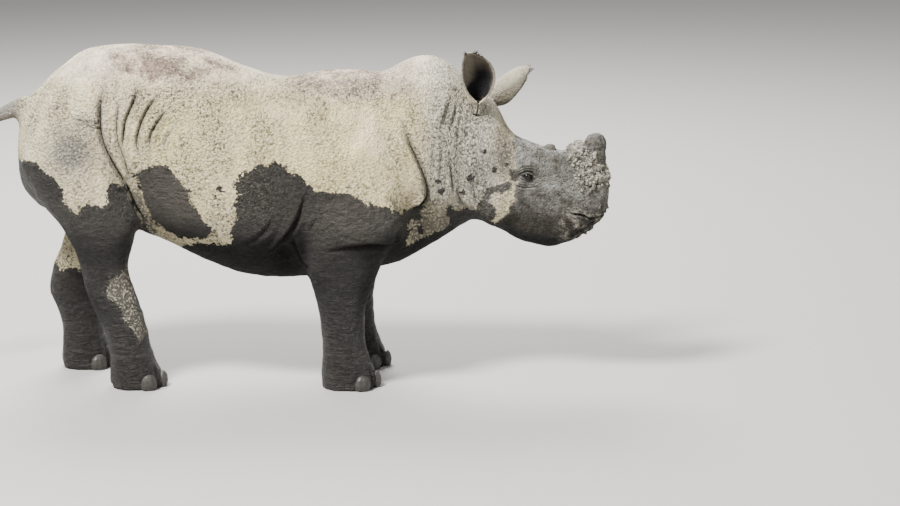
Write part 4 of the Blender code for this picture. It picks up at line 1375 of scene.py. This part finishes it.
# Mud on rhinoceros hide: dried, it is matt and granular with fine pores; wet, it is dark and satin. Shade and
# highlights are painted in.
def mudOnHide():
    made, tree = newMaterial("mud on hide, dried matt and wet satin")
    place = addNode(tree, "ShaderNodeTexCoord", out="Object")
    upright = addNode(tree, mappingKind, {}, {"Vector": place, "Scale": (1.0, 1.0, 0.40)})
    level = addNode(tree, mappingKind, {}, {"Vector": place, "Scale": (0.22, 0.22, 1.0)})
    pushed = []
    for start, perMetre, reach in ((place, 70.0, 0.010), (upright, 55.0, 0.012)):
        shift = addNode(tree, noiseKind, {}, {"Vector": place, "Scale": perMetre, "Detail": 2.0}, out="Color")
        shift = addNode(tree, vectorKind, scaled, {0: shift, "Scale": reach})
        pushed.append(addNode(tree, vectorKind, plus, {0: start, 1: shift}))
    shaken, warped = pushed
    tall = addNode(tree, mappingKind, {}, {"Vector": shaken, "Scale": (1.0, 1.0, 0.55)})
    lies = {"plain": place, "upright": upright, "level": level, "shaken": shaken, "tall": tall}

    # every value by its name: first the marks on the skin and the noises
    value = {name: addNode(tree, fieldKind, {"attribute_name": name}, out="Fac") for name in hideMarks}
    for name, (perMetre, detail, rough, twist, way) in hideGrain.items():
        value[name] = addNode(tree, noiseKind, {}, {
            "Vector": lies[way],
            "Scale": perMetre,
            "Detail": detail,
            "Roughness": rough,
            "Distortion": twist,
        })

    # pores: pricks 9 mm apart that gather in upright bands; crackle: upright cells 11 mm wide on the neck
    value["cells"] = addNode(tree, cellKind, {}, {"Vector": place, "Scale": 105.0})
    toEdge = {"feature": "DISTANCE_TO_EDGE"}
    value["crackCells"] = addNode(tree, cellKind, toEdge, {"Vector": warped, "Scale": 95.0})

    # grit: dried mud in lumps 8 mm apart, drawn upright on the neck
    lumpCells = addNode(tree, cellKind, {}, {"Vector": shaken, "Scale": 100.0})
    grit = addNode(tree, mixKind, numberMix, {0: value["neckGrain"], 2: value["grit"], 3: value["tallGrit"]})
    granules = addNode(tree, mathKind, timesPlus, {0: lumpCells, 1: -0.38, 2: 0.18})
    value["granules"] = addNode(tree, mathKind, plus, {0: grit, 1: granules})

    # each outline's distance, made ragged at 26 mm and at 7 mm
    ragged = addNode(tree, mathKind, timesPlus, {0: value["mottle"], 1: 0.050, 2: -0.0375})
    ragged = addNode(tree, mathKind, timesPlus, {0: value["crumbs"], 1: 0.025, 2: ragged})
    moreRagged = addNode(tree, mathKind, timesPlus, {0: value["clotted"], 1: 1.1, 2: 1.0})
    ragged = addNode(tree, mathKind, times, {0: ragged, 1: moreRagged})
    for edge, mark in (("wetEdge", "wetMud"), ("faceEdge", "faceMud"), ("pinkEdge", "pinkPatch")):
        value[edge] = addNode(tree, mathKind, plus, {0: value[mark], 1: ragged})

    # distance from a fold's line, measured across it, a little crumbled, for the dark line of painted shade
    # along each fold
    across = addNode(tree, mathKind, {"operation": "ABSOLUTE"}, {0: value["foldSide"]})
    beyond = addNode(tree, mathKind, plus, {0: value["foldAway"], 1: -0.0045})
    across = addNode(tree, mathKind, most, {0: across, 1: beyond})
    value["fromFold"] = addNode(tree, mathKind, timesPlus, {0: value["crumbs"], 1: 0.0026, 2: across})

    for name, (source, start, full, low, high) in hideRange.items():
        value[name] = addNode(tree, rangeKind, {}, {
            "Value": value[source],
            "From Min": start,
            "From Max": full,
            "To Min": low,
            "To Max": high,
        })
    value["gathered"] = addNode(tree, mathKind, most, {0: value["gather"], 1: value["neckGrain"]})
    for name, first, second in hideProducts:
        value[name] = addNode(tree, mathKind, times, {0: value[first], 1: value.get(second, second)})
    rim = addNode(tree, mathKind, most, {0: value["wetRimAndLidShade"], 1: value["crumbly"]})
    value["halfDry"] = addNode(tree, mathKind, times, {0: value["crumbTops"], 1: rim})
    # painted shade on the face: round the eyes, darker towards the bottom, over random blots
    share = addNode(tree, mathKind, timesPlus, {0: value["blots"], 1: 0.7, 2: -0.35})
    value["faceShade"] = addNode(tree, mathKind, {**plus, "use_clamp": True}, {0: share, 1: value["lowDark"]})

    # colours: each coat from its ground up, then the coats over the dry one
    tint = {name: hexColour(text) for name, text in mudColours.items()}
    coats = {}
    for coat, (ground, *layers) in hideCoats.items():
        colour = tint[ground]
        for share, over in layers:
            colour = addNode(tree, mixKind, colourMix, {0: value[share], 6: colour, 7: tint[over]}, out=2)
        coats[coat] = colour
    coats["face"] = addNode(tree, vectorKind, scaled, {0: coats["face"], "Scale": value["speckle"]})
    colour = coats["dry"]
    for share, coat in (("face", "face"), ("wet", "wet"), ("caked", "caked"), ("earInside", "ear")):
        colour = addNode(tree, mixKind, colourMix, {0: value[share], 6: colour, 7: coats[coat]}, out=2)

    # dark in pores and cracks; painted shade along folds, in creases and seams, and round the eyes
    notWet = addNode(tree, mathKind, minus, {0: 1.0, 1: value["wet"]})
    shade = addNode(tree, mathKind, times, {0: value["pores"], 1: notWet})
    shade = addNode(tree, mathKind, times, {0: shade, 1: value["granular"]})
    shade = addNode(tree, mathKind, times, {0: shade, 1: 0.62})
    for name, dark in (("cracks", 0.55), ("foldLine", 0.92), ("creaseShade", 0.48)):
        more = addNode(tree, mathKind, times, {0: value[name], 1: dark})
        shade = addNode(tree, mathKind, most, {0: shade, 1: more})
    colour = addNode(tree, mixKind, colourMix, {0: shade, 6: colour, 7: tint["creaseShade"]}, out=2)

    # height in millimetres: granules, pores and blots on the dry mud, drawn smears on the wet
    dryHeight = addNode(tree, mathKind, times, {0: value["granules"], 1: 46.0})
    dryHeight = addNode(tree, mathKind, timesPlus, {0: value["blots"], 1: 16.0, 2: dryHeight})
    dryHeight = addNode(tree, mathKind, times, {0: dryHeight, 1: value["rugged"]})
    for name, rise in (("pores", -3.0), ("cracks", -5.0)):
        dryHeight = addNode(tree, mathKind, timesPlus, {0: value[name], 1: rise, 2: dryHeight})
    wetHeight = -2.0
    for name, rise in (("streaks", 5.0), ("blots", 26.0), ("clots", 34.0)):
        wetHeight = addNode(tree, mathKind, timesPlus, {0: value[name], 1: rise, 2: wetHeight})
    height = addNode(tree, mixKind, numberMix, {0: value["wet"], 2: dryHeight, 3: wetHeight})
    for name, rise in (("ribs", 11.0), ("faceRibs", 9.0), ("foldLine", -3.0)):
        height = addNode(tree, mathKind, timesPlus, {0: value[name], 1: rise, 2: height})

    rough = addNode(tree, mixKind, numberMix, {0: value["wet"], 2: 0.93, 3: value["satin"]})
    rough = addNode(tree, mathKind, {**timesPlus, "use_clamp": True}, {0: value["under"], 1: 0.5, 2: rough})
    endMaterial(tree, {"Base Color": colour, "Roughness": rough, "Specular IOR Level": 0.30}, height)
    return made


hideCoat = mudOnHide()
mesh.materials.clear()
mesh.materials.append(hideCoat)
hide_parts(*fleshNodes)
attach(skin, "root")
print("hide material made")

# Eyes: a dark wet ball with its cornea standing out along the gaze

eyeMake = {
    "iris": 0.0098,  # radii, seen along the gaze
    "pupil": 0.0046,
    "cornea": 0.0013,  # how far it stands out
    "irisFades": 0.0116,
    "pupilFades": 0.0058,
    "pupilColour": "#050403",
    "irisColour": "#110b07",
    "whiteColour": "#15100d",
}


# An eye's cornea and dark iris: clear wet gloss over a brown ring and a black pupil.
def wetEye():
    made, tree = newMaterial("eye, wet and clear over a dark iris")
    place = addNode(tree, "ShaderNodeTexCoord", out="Object")
    gaze = addNode(tree, fieldKind, {"attribute_name": "gaze"}, out="Fac")
    rays = addNode(tree, noiseKind, {}, {"Vector": place, "Scale": 900.0, "Detail": 2.0})
    ragged = addNode(tree, mathKind, timesPlus, {0: rays, 1: 0.0016, 2: gaze})
    colour = hexColour(eyeMake["pupilColour"])
    for ring, beyond in (("pupil", "irisColour"), ("iris", "whiteColour")):
        edge = {"Value": ragged, "From Min": eyeMake[ring], "From Max": eyeMake[f"{ring}Fades"]}
        share = addNode(tree, rangeKind, {}, edge)
        over = hexColour(eyeMake[beyond])
        colour = addNode(tree, mixKind, colourMix, {0: share, 6: colour, 7: over}, out=2)
    endMaterial(tree, {
        "Base Color": colour,
        "Roughness": 0.22,
        "IOR": 1.376,
        "Specular IOR Level": 0.3,
        "Coat Weight": 0.40,
        "Coat Roughness": 0.04,
    })
    return made


eyeGloss = wetEye()
for label in sides:
    spot = eyeSpots[label]
    ahead, up, out = eyeAxes(label)
    form = bmesh.new()
    bmesh.ops.create_uvsphere(form, u_segments=48, v_segments=32, radius=1.0)
    ball = meshFrom(form, f"eyeball_{label}")
    unit = readPlaces(ball)
    away = np.hypot(unit[:, 0], unit[:, 1])  # of the gaze, which is the ball's own z
    facing = unit[:, 2] > 0
    reach = spot["radius"] - 0.0006 + eyeMake["cornea"] * smooth(0.62, 0.30, away) * facing
    gazed = unit * reach[:, None]
    turn = np.stack([np.cross(up, out), up, out])
    writePlaces(ball, bent(spot["middle"] + gazed @ turn))
    setAttribute(ball, "gaze", np.where(facing, away * spot["radius"], spot["radius"]))
    smoothShaded(ball)
    ball.materials.append(eyeGloss)
    eyeball = newObject(f"eyeball_{label}", ball)
    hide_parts(f"eye_{label}")
    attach(eyeball, "root")
print("eyes made")

# Horns and nails: the fixed solids' forms, made fine and given their grain


# a node's form again in small even faces, grown, smoothed and roughened by (wave, rise) noises
def refinedNode(node, name, make):
    made = evenObject(name, grownCopy(node, make["grown"]), make["grain"])
    fine = made.data
    writePlaces(fine, relaxed(readPlaces(fine), readEdges(fine), make["rounds"]))
    rough, normals = readPlaces(fine), readNormals(fine)
    for wave, rise in make["waves"]:
        rough += normals * (rise * noiseAt(rough, wave, 11.0 * wave))[:, None]
    rough[:, 2] = np.maximum(rough[:, 2], 0.0)
    writePlaces(fine, rough)
    smoothShaded(fine)
    return made


hornColours = ("#1d1b18", "#48433c", "#37342e", "#6f6a60")  # keratin dark and light, crust dark and light
nailColours = ("#1d1a17", "#3c3832", "#2e2b26")  # keratin dark and light, mud


# Young horn: matt keratin in matted upright fibres, under patches of drying mud.
def muddyHorn():
    made, tree = newMaterial("horn, weathered keratin under drying mud")
    place = addNode(tree, "ShaderNodeTexCoord", out="Object")
    drawn = addNode(tree, mappingKind, {}, {"Vector": place, "Scale": (1.0, 1.0, 0.14)})
    fibres = addNode(tree, noiseKind, {}, {"Vector": drawn, "Scale": 330.0, "Detail": 3.0})  # 3 mm strands
    lumps = addNode(tree, noiseKind, {}, {"Vector": place, "Scale": 75.0, "Detail": 5.0, "Roughness": 0.62})
    grit = addNode(tree, noiseKind, {}, {"Vector": place, "Scale": 300.0, "Detail": 2.0})
    mud = addNode(tree, rangeKind, {}, {"Value": lumps, "From Min": 0.46, "From Max": 0.54})
    tint = [hexColour(text) for text in hornColours]
    keratin = addNode(tree, mixKind, colourMix, {0: fibres, 6: tint[0], 7: tint[1]}, out=2)
    crust = addNode(tree, mixKind, colourMix, {0: grit, 6: tint[2], 7: tint[3]}, out=2)
    colour = addNode(tree, mixKind, colourMix, {0: mud, 6: keratin, 7: crust}, out=2)
    height = 0.0
    for relief, rise in ((fibres, 1.5), (lumps, 14.0), (grit, 1.0)):
        height = addNode(tree, mathKind, timesPlus, {0: relief, 1: rise, 2: height})
    rough = addNode(tree, rangeKind, {}, {"Value": mud, "To Min": 0.62, "To Max": 0.92})
    look = {"Base Color": colour, "Roughness": rough, "IOR": 1.55, "Specular IOR Level": 0.4}
    endMaterial(tree, look, height, 0.9)
    return made


# Toenail keratin: smooth dark grey growth lines, dulled with mud.
def muddyNail():
    made, tree = newMaterial("nail, worn keratin dulled with mud")
    place = addNode(tree, "ShaderNodeTexCoord", out="Object")
    ringed = addNode(tree, mappingKind, {}, {"Vector": place, "Scale": (0.2, 0.2, 1.0)})
    growth = addNode(tree, noiseKind, {}, {"Vector": ringed, "Scale": 260.0, "Detail": 2.0})  # 4 mm lines
    blots = addNode(tree, noiseKind, {}, {"Vector": place, "Scale": 90.0, "Detail": 4.0})
    mud = addNode(tree, rangeKind, {}, {"Value": blots, "From Min": 0.42, "From Max": 0.60})
    tint = [hexColour(text) for text in nailColours]
    keratin = addNode(tree, mixKind, colourMix, {0: growth, 6: tint[0], 7: tint[1]}, out=2)
    colour = addNode(tree, mixKind, colourMix, {0: mud, 6: keratin, 7: tint[2]}, out=2)
    height = 0.0
    for relief, rise in ((growth, 0.8), (blots, 1.6)):
        height = addNode(tree, mathKind, timesPlus, {0: relief, 1: rise, 2: height})
    rough = addNode(tree, rangeKind, {}, {"Value": mud, "To Min": 0.42, "To Max": 0.80})
    endMaterial(tree, {"Base Color": colour, "Roughness": rough, "IOR": 1.55}, height, 0.7)
    return made


hornMake = {  # size of the faces, rounds of smoothing, metres grown, and the (wave, rise) of each noise
    "horn_front": {"grain": 0.0026, "rounds": 8, "grown": 0.0010,
                   "waves": ((0.030, 0.0030), (0.012, 0.0016), (0.006, 0.0007))},
    "horn_back": {"grain": 0.0016, "rounds": 5, "grown": 0.0010,
                  "waves": ((0.014, 0.0016), (0.006, 0.0008))},
}
hornFinish = muddyHorn()
for node, name in (("horn_front", "front_horn"), ("horn_back", "back_horn")):
    horn = refinedNode(node, name, hornMake[node])
    horn.data.materials.append(hornFinish)
    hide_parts(node)
    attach(horn, "root")

nailMake = {"grain": 0.0024, "rounds": 6, "grown": 0.0012, "waves": ((0.020, 0.0008), (0.007, 0.0004))}
nailFinish = muddyNail()
for node in sorted(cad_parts):
    if node.startswith("nail_"):
        nail = refinedNode(node, node.replace("nail_", "toenail_"), nailMake)
        nail.data.materials.append(nailFinish)
        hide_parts(node)
        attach(nail, "root")
print("horns and nails made")

# Clods: loose crumbs of mud where it is caked round the horn, at the wet edges and up the feet

clodMake = {
    "Clods per square metre": 9000.0,
    "Smallest clod": 0.25,
    "Largest clod": 1.15,
    "Clod radius": 0.0062,
    "Seed": 7,
}
clodColours = (("#605c53", "#a09a8c"), ("#1c1a17", "#36322d"))  # dry, then damp, each dark and light; the damp ones also give the painted shade on low clods
clodBumps = {"perMetre": 150.0, "reach": 0.017}

onCorners = {"data_type": "FLOAT2", "domain": "CORNER"}
storeKind, readKind = "GeometryNodeStoreNamedAttribute", "GeometryNodeInputNamedAttribute"
vectors, numbers = {"data_type": "FLOAT_VECTOR"}, {"data_type": "FLOAT"}
fullTurn = 6.28
patchSize = 0.003  # the share of the skin's map that one clod or bristle is painted from


# a node group that takes and gives geometry, with these named inputs; gives its given values back too
def newGroup(name, values):
    tree = bpy.data.node_groups.new(name, "GeometryNodeTree")
    tree.interface.new_socket("Geometry", in_out="INPUT", socket_type="NodeSocketGeometry")
    for label, value in values.items():
        kind = "NodeSocketInt" if label == "Seed" else "NodeSocketFloat"
        tree.interface.new_socket(label, in_out="INPUT", socket_type=kind).default_value = value
    tree.interface.new_socket("Geometry", in_out="OUTPUT", socket_type="NodeSocketGeometry")
    return tree, tree.nodes.new("NodeGroupInput").outputs


# one shape on every point as real faces, each painted from a little patch of the map round its root
def endGroup(tree, points, shape, turn, size, rootMap, finish):
    placed = addNode(tree, "GeometryNodeInstanceOnPoints", {}, {
        "Points": points,
        "Instance": shape,
        "Rotation": turn,
        "Scale": size,
    })
    whole = addNode(tree, "GeometryNodeRealizeInstances", {}, {"Geometry": placed})
    root = addNode(tree, readKind, vectors, {"Name": rootMap})
    patch = addNode(tree, readKind, vectors, {"Name": "patch"})
    patch = addNode(tree, vectorKind, minus, {0: patch, 1: (0.5, 0.5, 0.0)})
    patch = addNode(tree, vectorKind, scaled, {0: patch, "Scale": patchSize})
    patch = addNode(tree, vectorKind, plus, {0: root, 1: patch})
    mapped = addNode(tree, storeKind, onCorners, {"Geometry": whole, "Name": "OFBake", "Value": patch})
    rounded = addNode(tree, "GeometryNodeSetShadeSmooth", {}, {"Geometry": mapped, "Shade Smooth": True})
    painted = addNode(tree, "GeometryNodeSetMaterial", {}, {"Geometry": rounded, "Material": finish})
    addNode(tree, "NodeGroupOutput", {}, {"Geometry": painted})
    return tree


# runs a group on the object with its inputs set, and leaves a plain mesh with only its map and the
# attributes that its material reads
def runGroup(obj, tree, values, kept):
    modifier = obj.modifiers.new("group", "NODES")
    modifier.node_group = tree
    for item in tree.interface.items_tree:
        if item.item_type == "SOCKET" and item.in_out == "INPUT" and item.name in values:
            modifier[item.identifier] = values[item.name]
    applyModifiers(obj)
    attributes = obj.data.attributes
    for name in [attribute.name for attribute in attributes]:
        needed = attributes[name].is_internal or attributes[name].is_required
        if name not in (*kept, "material_index", "sharp_face") and not needed:
            attributes.remove(attributes[name])


def clodTree(finish):
    tree, given = newGroup("clods", clodMake)
    likely = addNode(tree, readKind, numbers, {"Name": "clods"})
    density = addNode(tree, mathKind, times, {0: likely, 1: given["Clods per square metre"]})
    points = addNode(tree, "GeometryNodeDistributePointsOnFaces", {}, {
        "Mesh": given["Geometry"],
        "Density": density,
        "Seed": given["Seed"],
    })
    ball = tree.nodes.new("GeometryNodeMeshIcoSphere")
    tree.links.new(given["Clod radius"], ball.inputs["Radius"])
    ball.inputs["Subdivisions"].default_value = 2
    ball = addNode(tree, storeKind, onCorners, {
        "Geometry": ball.outputs["Mesh"],
        "Name": "patch",
        "Value": ball.outputs["UV Map"],
    })
    where = addNode(tree, "GeometryNodeInputPosition")
    bumpy = {"Vector": where, "Scale": clodBumps["perMetre"], "Detail": 2.0}
    bumps = addNode(tree, noiseKind, {}, bumpy, out="Color")
    push = addNode(tree, vectorKind, minus, {0: bumps, 1: (0.5, 0.5, 0.5)})
    push = addNode(tree, vectorKind, scaled, {0: push, "Scale": clodBumps["reach"]})
    lump = addNode(tree, "GeometryNodeSetPosition", {}, {"Geometry": ball, "Offset": push})
    turns = {"Max": (fullTurn, fullTurn, fullTurn), "Seed": given["Seed"]}
    turn = addNode(tree, "FunctionNodeRandomValue", vectors, turns)
    size = addNode(tree, "FunctionNodeRandomValue", numbers, {
        2: given["Smallest clod"],
        3: given["Largest clod"],
        "Seed": given["Seed"],
    }, out=1)
    return endGroup(tree, points, lump, turn, size, "OFBake", finish)


# Crumbs of drying mud: grey-beige where dry on top, darker where still damp by the wet mud, and darker lower
# down as painted shade.
def clodMud():
    made, tree = newMaterial("mud clods, crumbly and half dry")
    place = addNode(tree, "ShaderNodeTexCoord", out="Object")
    damp = addNode(tree, fieldKind, {"attribute_name": "damp"}, out="Fac")
    patch = addNode(tree, noiseKind, {}, {"Vector": place, "Scale": 70.0, "Detail": 3.0})
    grit = addNode(tree, noiseKind, {}, {"Vector": place, "Scale": 420.0, "Detail": 2.0})
    share = addNode(tree, rangeKind, {}, {"Value": patch, "From Min": 0.38, "From Max": 0.62})
    coats = []
    for low, high in clodColours:
        low, high = hexColour(low), hexColour(high)
        coats.append(addNode(tree, mixKind, colourMix, {0: share, 6: low, 7: high}, out=2))
    colour = addNode(tree, mixKind, colourMix, {0: damp, 6: coats[0], 7: coats[1]}, out=2)
    height = addNode(tree, mathKind, timesPlus, {0: patch, 1: 1.5, 2: grit})
    endMaterial(tree, {"Base Color": colour, "Roughness": 0.88, "Specular IOR Level": 0.3}, height, 0.8)
    return made


fadeAlong.update(x=places[:, 0], z=places[:, 2], patchy=noiseAt(places, 0.05, 21.0))
fadeAlong.update(fromEdge=np.abs(wetMud + 0.004), intoWet=wetMud + 0.012)
behindHead = places[:, 0] < 0.35
likely = caked * fading("hornClods") + fading("chinClods") + fading("edgeClods") * behindHead
setAttribute(mesh, "clods", np.clip(likely, 0, 1) * ~inEars)
# damp by the wet mud, and darker lower down as painted shade
setAttribute(mesh, "damp", np.clip(fading("dampWet") + fading("lowClodShade"), 0, 1))
clods = newObject("mud_clods", mesh.copy())
runGroup(clods, clodTree(clodMud()), clodMake, ("OFBake", "damp"))
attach(clods, "root")
print("clods laid:", len(clods.data.polygons), "triangles")

# Bristles: the fringe of the ears, the lashes and the brush of the tail, as thin closed blades

bristleMake = {  # radius at the root and how far the tip bends aside, in metres
    "ear_fringe": {"Thickness": 0.0008, "Bend": 0.0030, "Seed": 3},
    "eyelashes": {"Thickness": 0.0006, "Bend": -0.0024, "Seed": 4},
    "tail_bristles": {"Thickness": 0.0012, "Bend": 0.0080, "Seed": 5},
}
fringeMake = {  # for each ear
    "count": 330,
    "from": 0.40,  # share of the ear's length where it starts
    "side": 0.0055,  # lengths along the side and at the tip, in metres
    "tip": 0.019,
    "way": (0.9, 0.75, -0.15),  # how much up the ear, past its edge and out of its opening
    "shake": 0.16,
}
lashMake = {"count": 34, "length": 0.0105, "arc": (18, 165), "way": (0.9, 0.35, 0.5), "shake": 0.10}
brushMake = {
    "count": 560,
    "top": 0.790,  # height where it starts
    "length": (0.055, 0.088),
    "spread": 0.26,
    "hang": (0.10, 0.0, -0.30),
    "shake": 0.09,
}
hairColours = ("#14110e", "#4a4138", "#7a7063")  # dark strands, light strands, mud
luck = np.random.default_rng(11)


def fringeRoots(label):
    rows = np.array(earMake["rows"])
    _, up, opens, _ = earAxes(label)
    upward, past, outOf = fringeMake["way"]
    found = []
    for _ in range(fringeMake["count"]):
        share = fringeMake["from"] + (1.02 - fringeMake["from"]) * luck.random() ** 0.55
        radius, wrap, sweep = [np.interp(share, rows[:, 0], rows[:, column]) for column in (1, 2, 3)]
        side = luck.choice((-1.0, 1.0))
        turn = side * math.radians(wrap) * luck.uniform(0.90, 1.0)
        root = earPlace(label, share, radius, turn, sweep)
        beyond = earPlace(label, share, radius, turn + 0.05 * side, sweep) - root
        beyond = beyond / np.linalg.norm(beyond)
        way = upward * up + past * beyond + outOf * opens + luck.normal(0, fringeMake["shake"], 3)
        longer = (fringeMake["tip"] - fringeMake["side"]) * float(smooth(0.88, 1.0, share))
        reach = fringeMake["side"] + longer
        found.append((root, way, reach * luck.uniform(0.6, 1.1)))
    return found


def lashRoots(label):
    spot = eyeSpots[label]
    ahead, up, out = eyeAxes(label)
    halfLength, halfHeight = lidMake["opening"]
    outward, upward, onward = lashMake["way"]
    found = []
    for turn in np.radians(np.linspace(*lashMake["arc"], lashMake["count"])):
        u, v = halfLength * math.cos(turn) * 1.04, halfHeight * math.sin(turn) * 1.10
        w = math.sqrt(max(spot["radius"] ** 2 - u * u - v * v, 0.0)) + 0.001
        root = spot["middle"] + ahead * u + up * (v + lidMake["tilt"] * u) + out * w
        way = outward * out + upward * up + onward * math.cos(turn) * ahead
        way = way + luck.normal(0, lashMake["shake"], 3)
        found.append((root, way, lashMake["length"] * luck.uniform(0.7, 1.1)))
    return found


def brushRoots():
    rows = curvePoints(tailMake["rows"], 12)
    low = np.flatnonzero(rows[:, 1] < brushMake["top"])
    found = []
    for _ in range(brushMake["count"]):
        at = int(low[0] + (low[-1] - low[0]) * luck.random() ** 0.6)
        along = rows[min(at + 1, len(rows) - 1)] - rows[at - 1]
        along = np.array((along[0], 0.0, along[1])) / math.hypot(along[0], along[1])
        turn = luck.uniform(0, 2 * math.pi)
        above = np.array((-along[2], 0.0, along[0]))
        away = math.cos(turn) * np.array((0.0, 1.0, 0.0)) + math.sin(turn) * above
        root = np.array((rows[at, 0], 0.0, rows[at, 1])) + away * rows[at, 2] * 0.8
        way = along + brushMake["spread"] * away + np.array(brushMake["hang"])
        way = way + luck.normal(0, brushMake["shake"], 3)
        shortest, longest = brushMake["length"]
        found.append((root, way, luck.uniform(shortest, longest)))
    return found


def bristleTree(values, finish):
    tree, given = newGroup("bristles", values)
    cone = tree.nodes.new("GeometryNodeMeshCone")  # root at its foot, one unit long and one in radius
    coneMake = {"Vertices": 4, "Side Segments": 5, "Radius Top": 0.10, "Radius Bottom": 1.0, "Depth": 1.0}
    for name, value in coneMake.items():
        cone.inputs[name].default_value = value
    blade = addNode(tree, storeKind, onCorners, {
        "Geometry": cone.outputs["Mesh"],
        "Name": "patch",
        "Value": cone.outputs["UV Map"],
    })
    where = addNode(tree, "GeometryNodeInputPosition")
    tip = addNode(tree, "ShaderNodeSeparateXYZ", {}, {"Vector": where}, out=2)
    squared = addNode(tree, mathKind, times, {0: tip, 1: tip})
    lean = addNode(tree, mathKind, {"operation": "DIVIDE"}, {0: given["Bend"], 1: given["Thickness"]})
    lean = addNode(tree, mathKind, times, {0: lean, 1: squared})
    aside = addNode(tree, "ShaderNodeCombineXYZ", {}, {"X": lean})
    blade = addNode(tree, "GeometryNodeSetPosition", {}, {"Geometry": blade, "Offset": aside})
    way = addNode(tree, readKind, vectors, {"Name": "way"})
    reach = addNode(tree, readKind, numbers, {"Name": "reach"})
    turned = addNode(tree, "FunctionNodeAlignRotationToVector", {"axis": "Z"}, {"Vector": way})
    twists = {"Max": (0.0, 0.0, fullTurn), "Seed": given["Seed"]}
    twist = addNode(tree, "FunctionNodeRandomValue", vectors, twists)
    turned = addNode(tree, "FunctionNodeRotateRotation", {"rotation_space": "LOCAL"}, {0: turned, 1: twist})
    thick = given["Thickness"]
    size = addNode(tree, "ShaderNodeCombineXYZ", {}, {"X": thick, "Y": thick, "Z": reach})
    return endGroup(tree, given["Geometry"], blade, turned, size, "rootMap", finish)


# Coarse hair: near-black strands with a soft gloss, dulled and browned by dried mud in places.
def coarseHair():
    made, tree = newMaterial("bristle, coarse dark hair with dried mud")
    place = addNode(tree, "ShaderNodeTexCoord", out="Object")
    # a noise so fine that each hair has its own shade
    strands = addNode(tree, noiseKind, {}, {"Vector": place, "Scale": 700.0, "Detail": 2.0})
    muddy = addNode(tree, noiseKind, {}, {"Vector": place, "Scale": 60.0, "Detail": 3.0})
    mud = addNode(tree, rangeKind, {}, {"Value": muddy, "From Min": 0.50, "From Max": 0.66})
    colour = hexColour(hairColours[0])
    for share, over in ((strands, hairColours[1]), (mud, hairColours[2])):
        colour = addNode(tree, mixKind, colourMix, {0: share, 6: colour, 7: hexColour(over)}, out=2)
    rough = addNode(tree, rangeKind, {}, {"Value": mud, "To Min": 0.48, "To Max": 0.85})
    look = {"Base Color": colour, "Roughness": rough, "IOR": 1.55, "Specular IOR Level": 0.4}
    endMaterial(tree, look)
    return made


finalTree = sideTree(mesh, readPlaces(mesh))
skinMap = mesh.uv_layers["OFBake"].data


# puts every bristle's root just under the skin, and notes where the skin's map is there
def rootPoints(name, found):
    roots = bent(np.array([root for root, way, reach in found]))
    tips = bent(np.array([root + way / np.linalg.norm(way) * reach for root, way, reach in found]))
    maps = []
    for i, root in enumerate(roots):
        place, normal, face, away = finalTree.find_nearest(Vector(root))
        roots[i] = place - normal * 0.0008
        corners = mesh.polygons[face].loop_indices
        u, v = np.mean([skinMap[corner].uv for corner in corners], axis=0)
        maps.append((u, v, 0.0))
    points = bpy.data.meshes.new(name)
    points.from_pydata(roots.tolist(), [], [])
    for label, values in (("way", tips - roots), ("rootMap", np.array(maps))):
        layer = points.attributes.new(label, "FLOAT_VECTOR", "POINT")
        layer.data.foreach_set("vector", values.astype(np.float32).ravel())
    setAttribute(points, "reach", [reach for root, way, reach in found])
    return newObject(name, points)


hairFinish = coarseHair()
bristleRoots = {
    "ear_fringe": fringeRoots("right") + fringeRoots("left"),
    "eyelashes": lashRoots("right") + lashRoots("left"),
    "tail_bristles": brushRoots(),
}
for name, found in bristleRoots.items():
    bristles = rootPoints(name, found)
    runGroup(bristles, bristleTree(bristleMake[name], hairFinish), bristleMake[name], ("OFBake",))
    if name == "tail_bristles":
        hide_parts("tail_brush")
    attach(bristles, "root")
    print(name, "grown:", len(bristles.data.polygons), "faces")
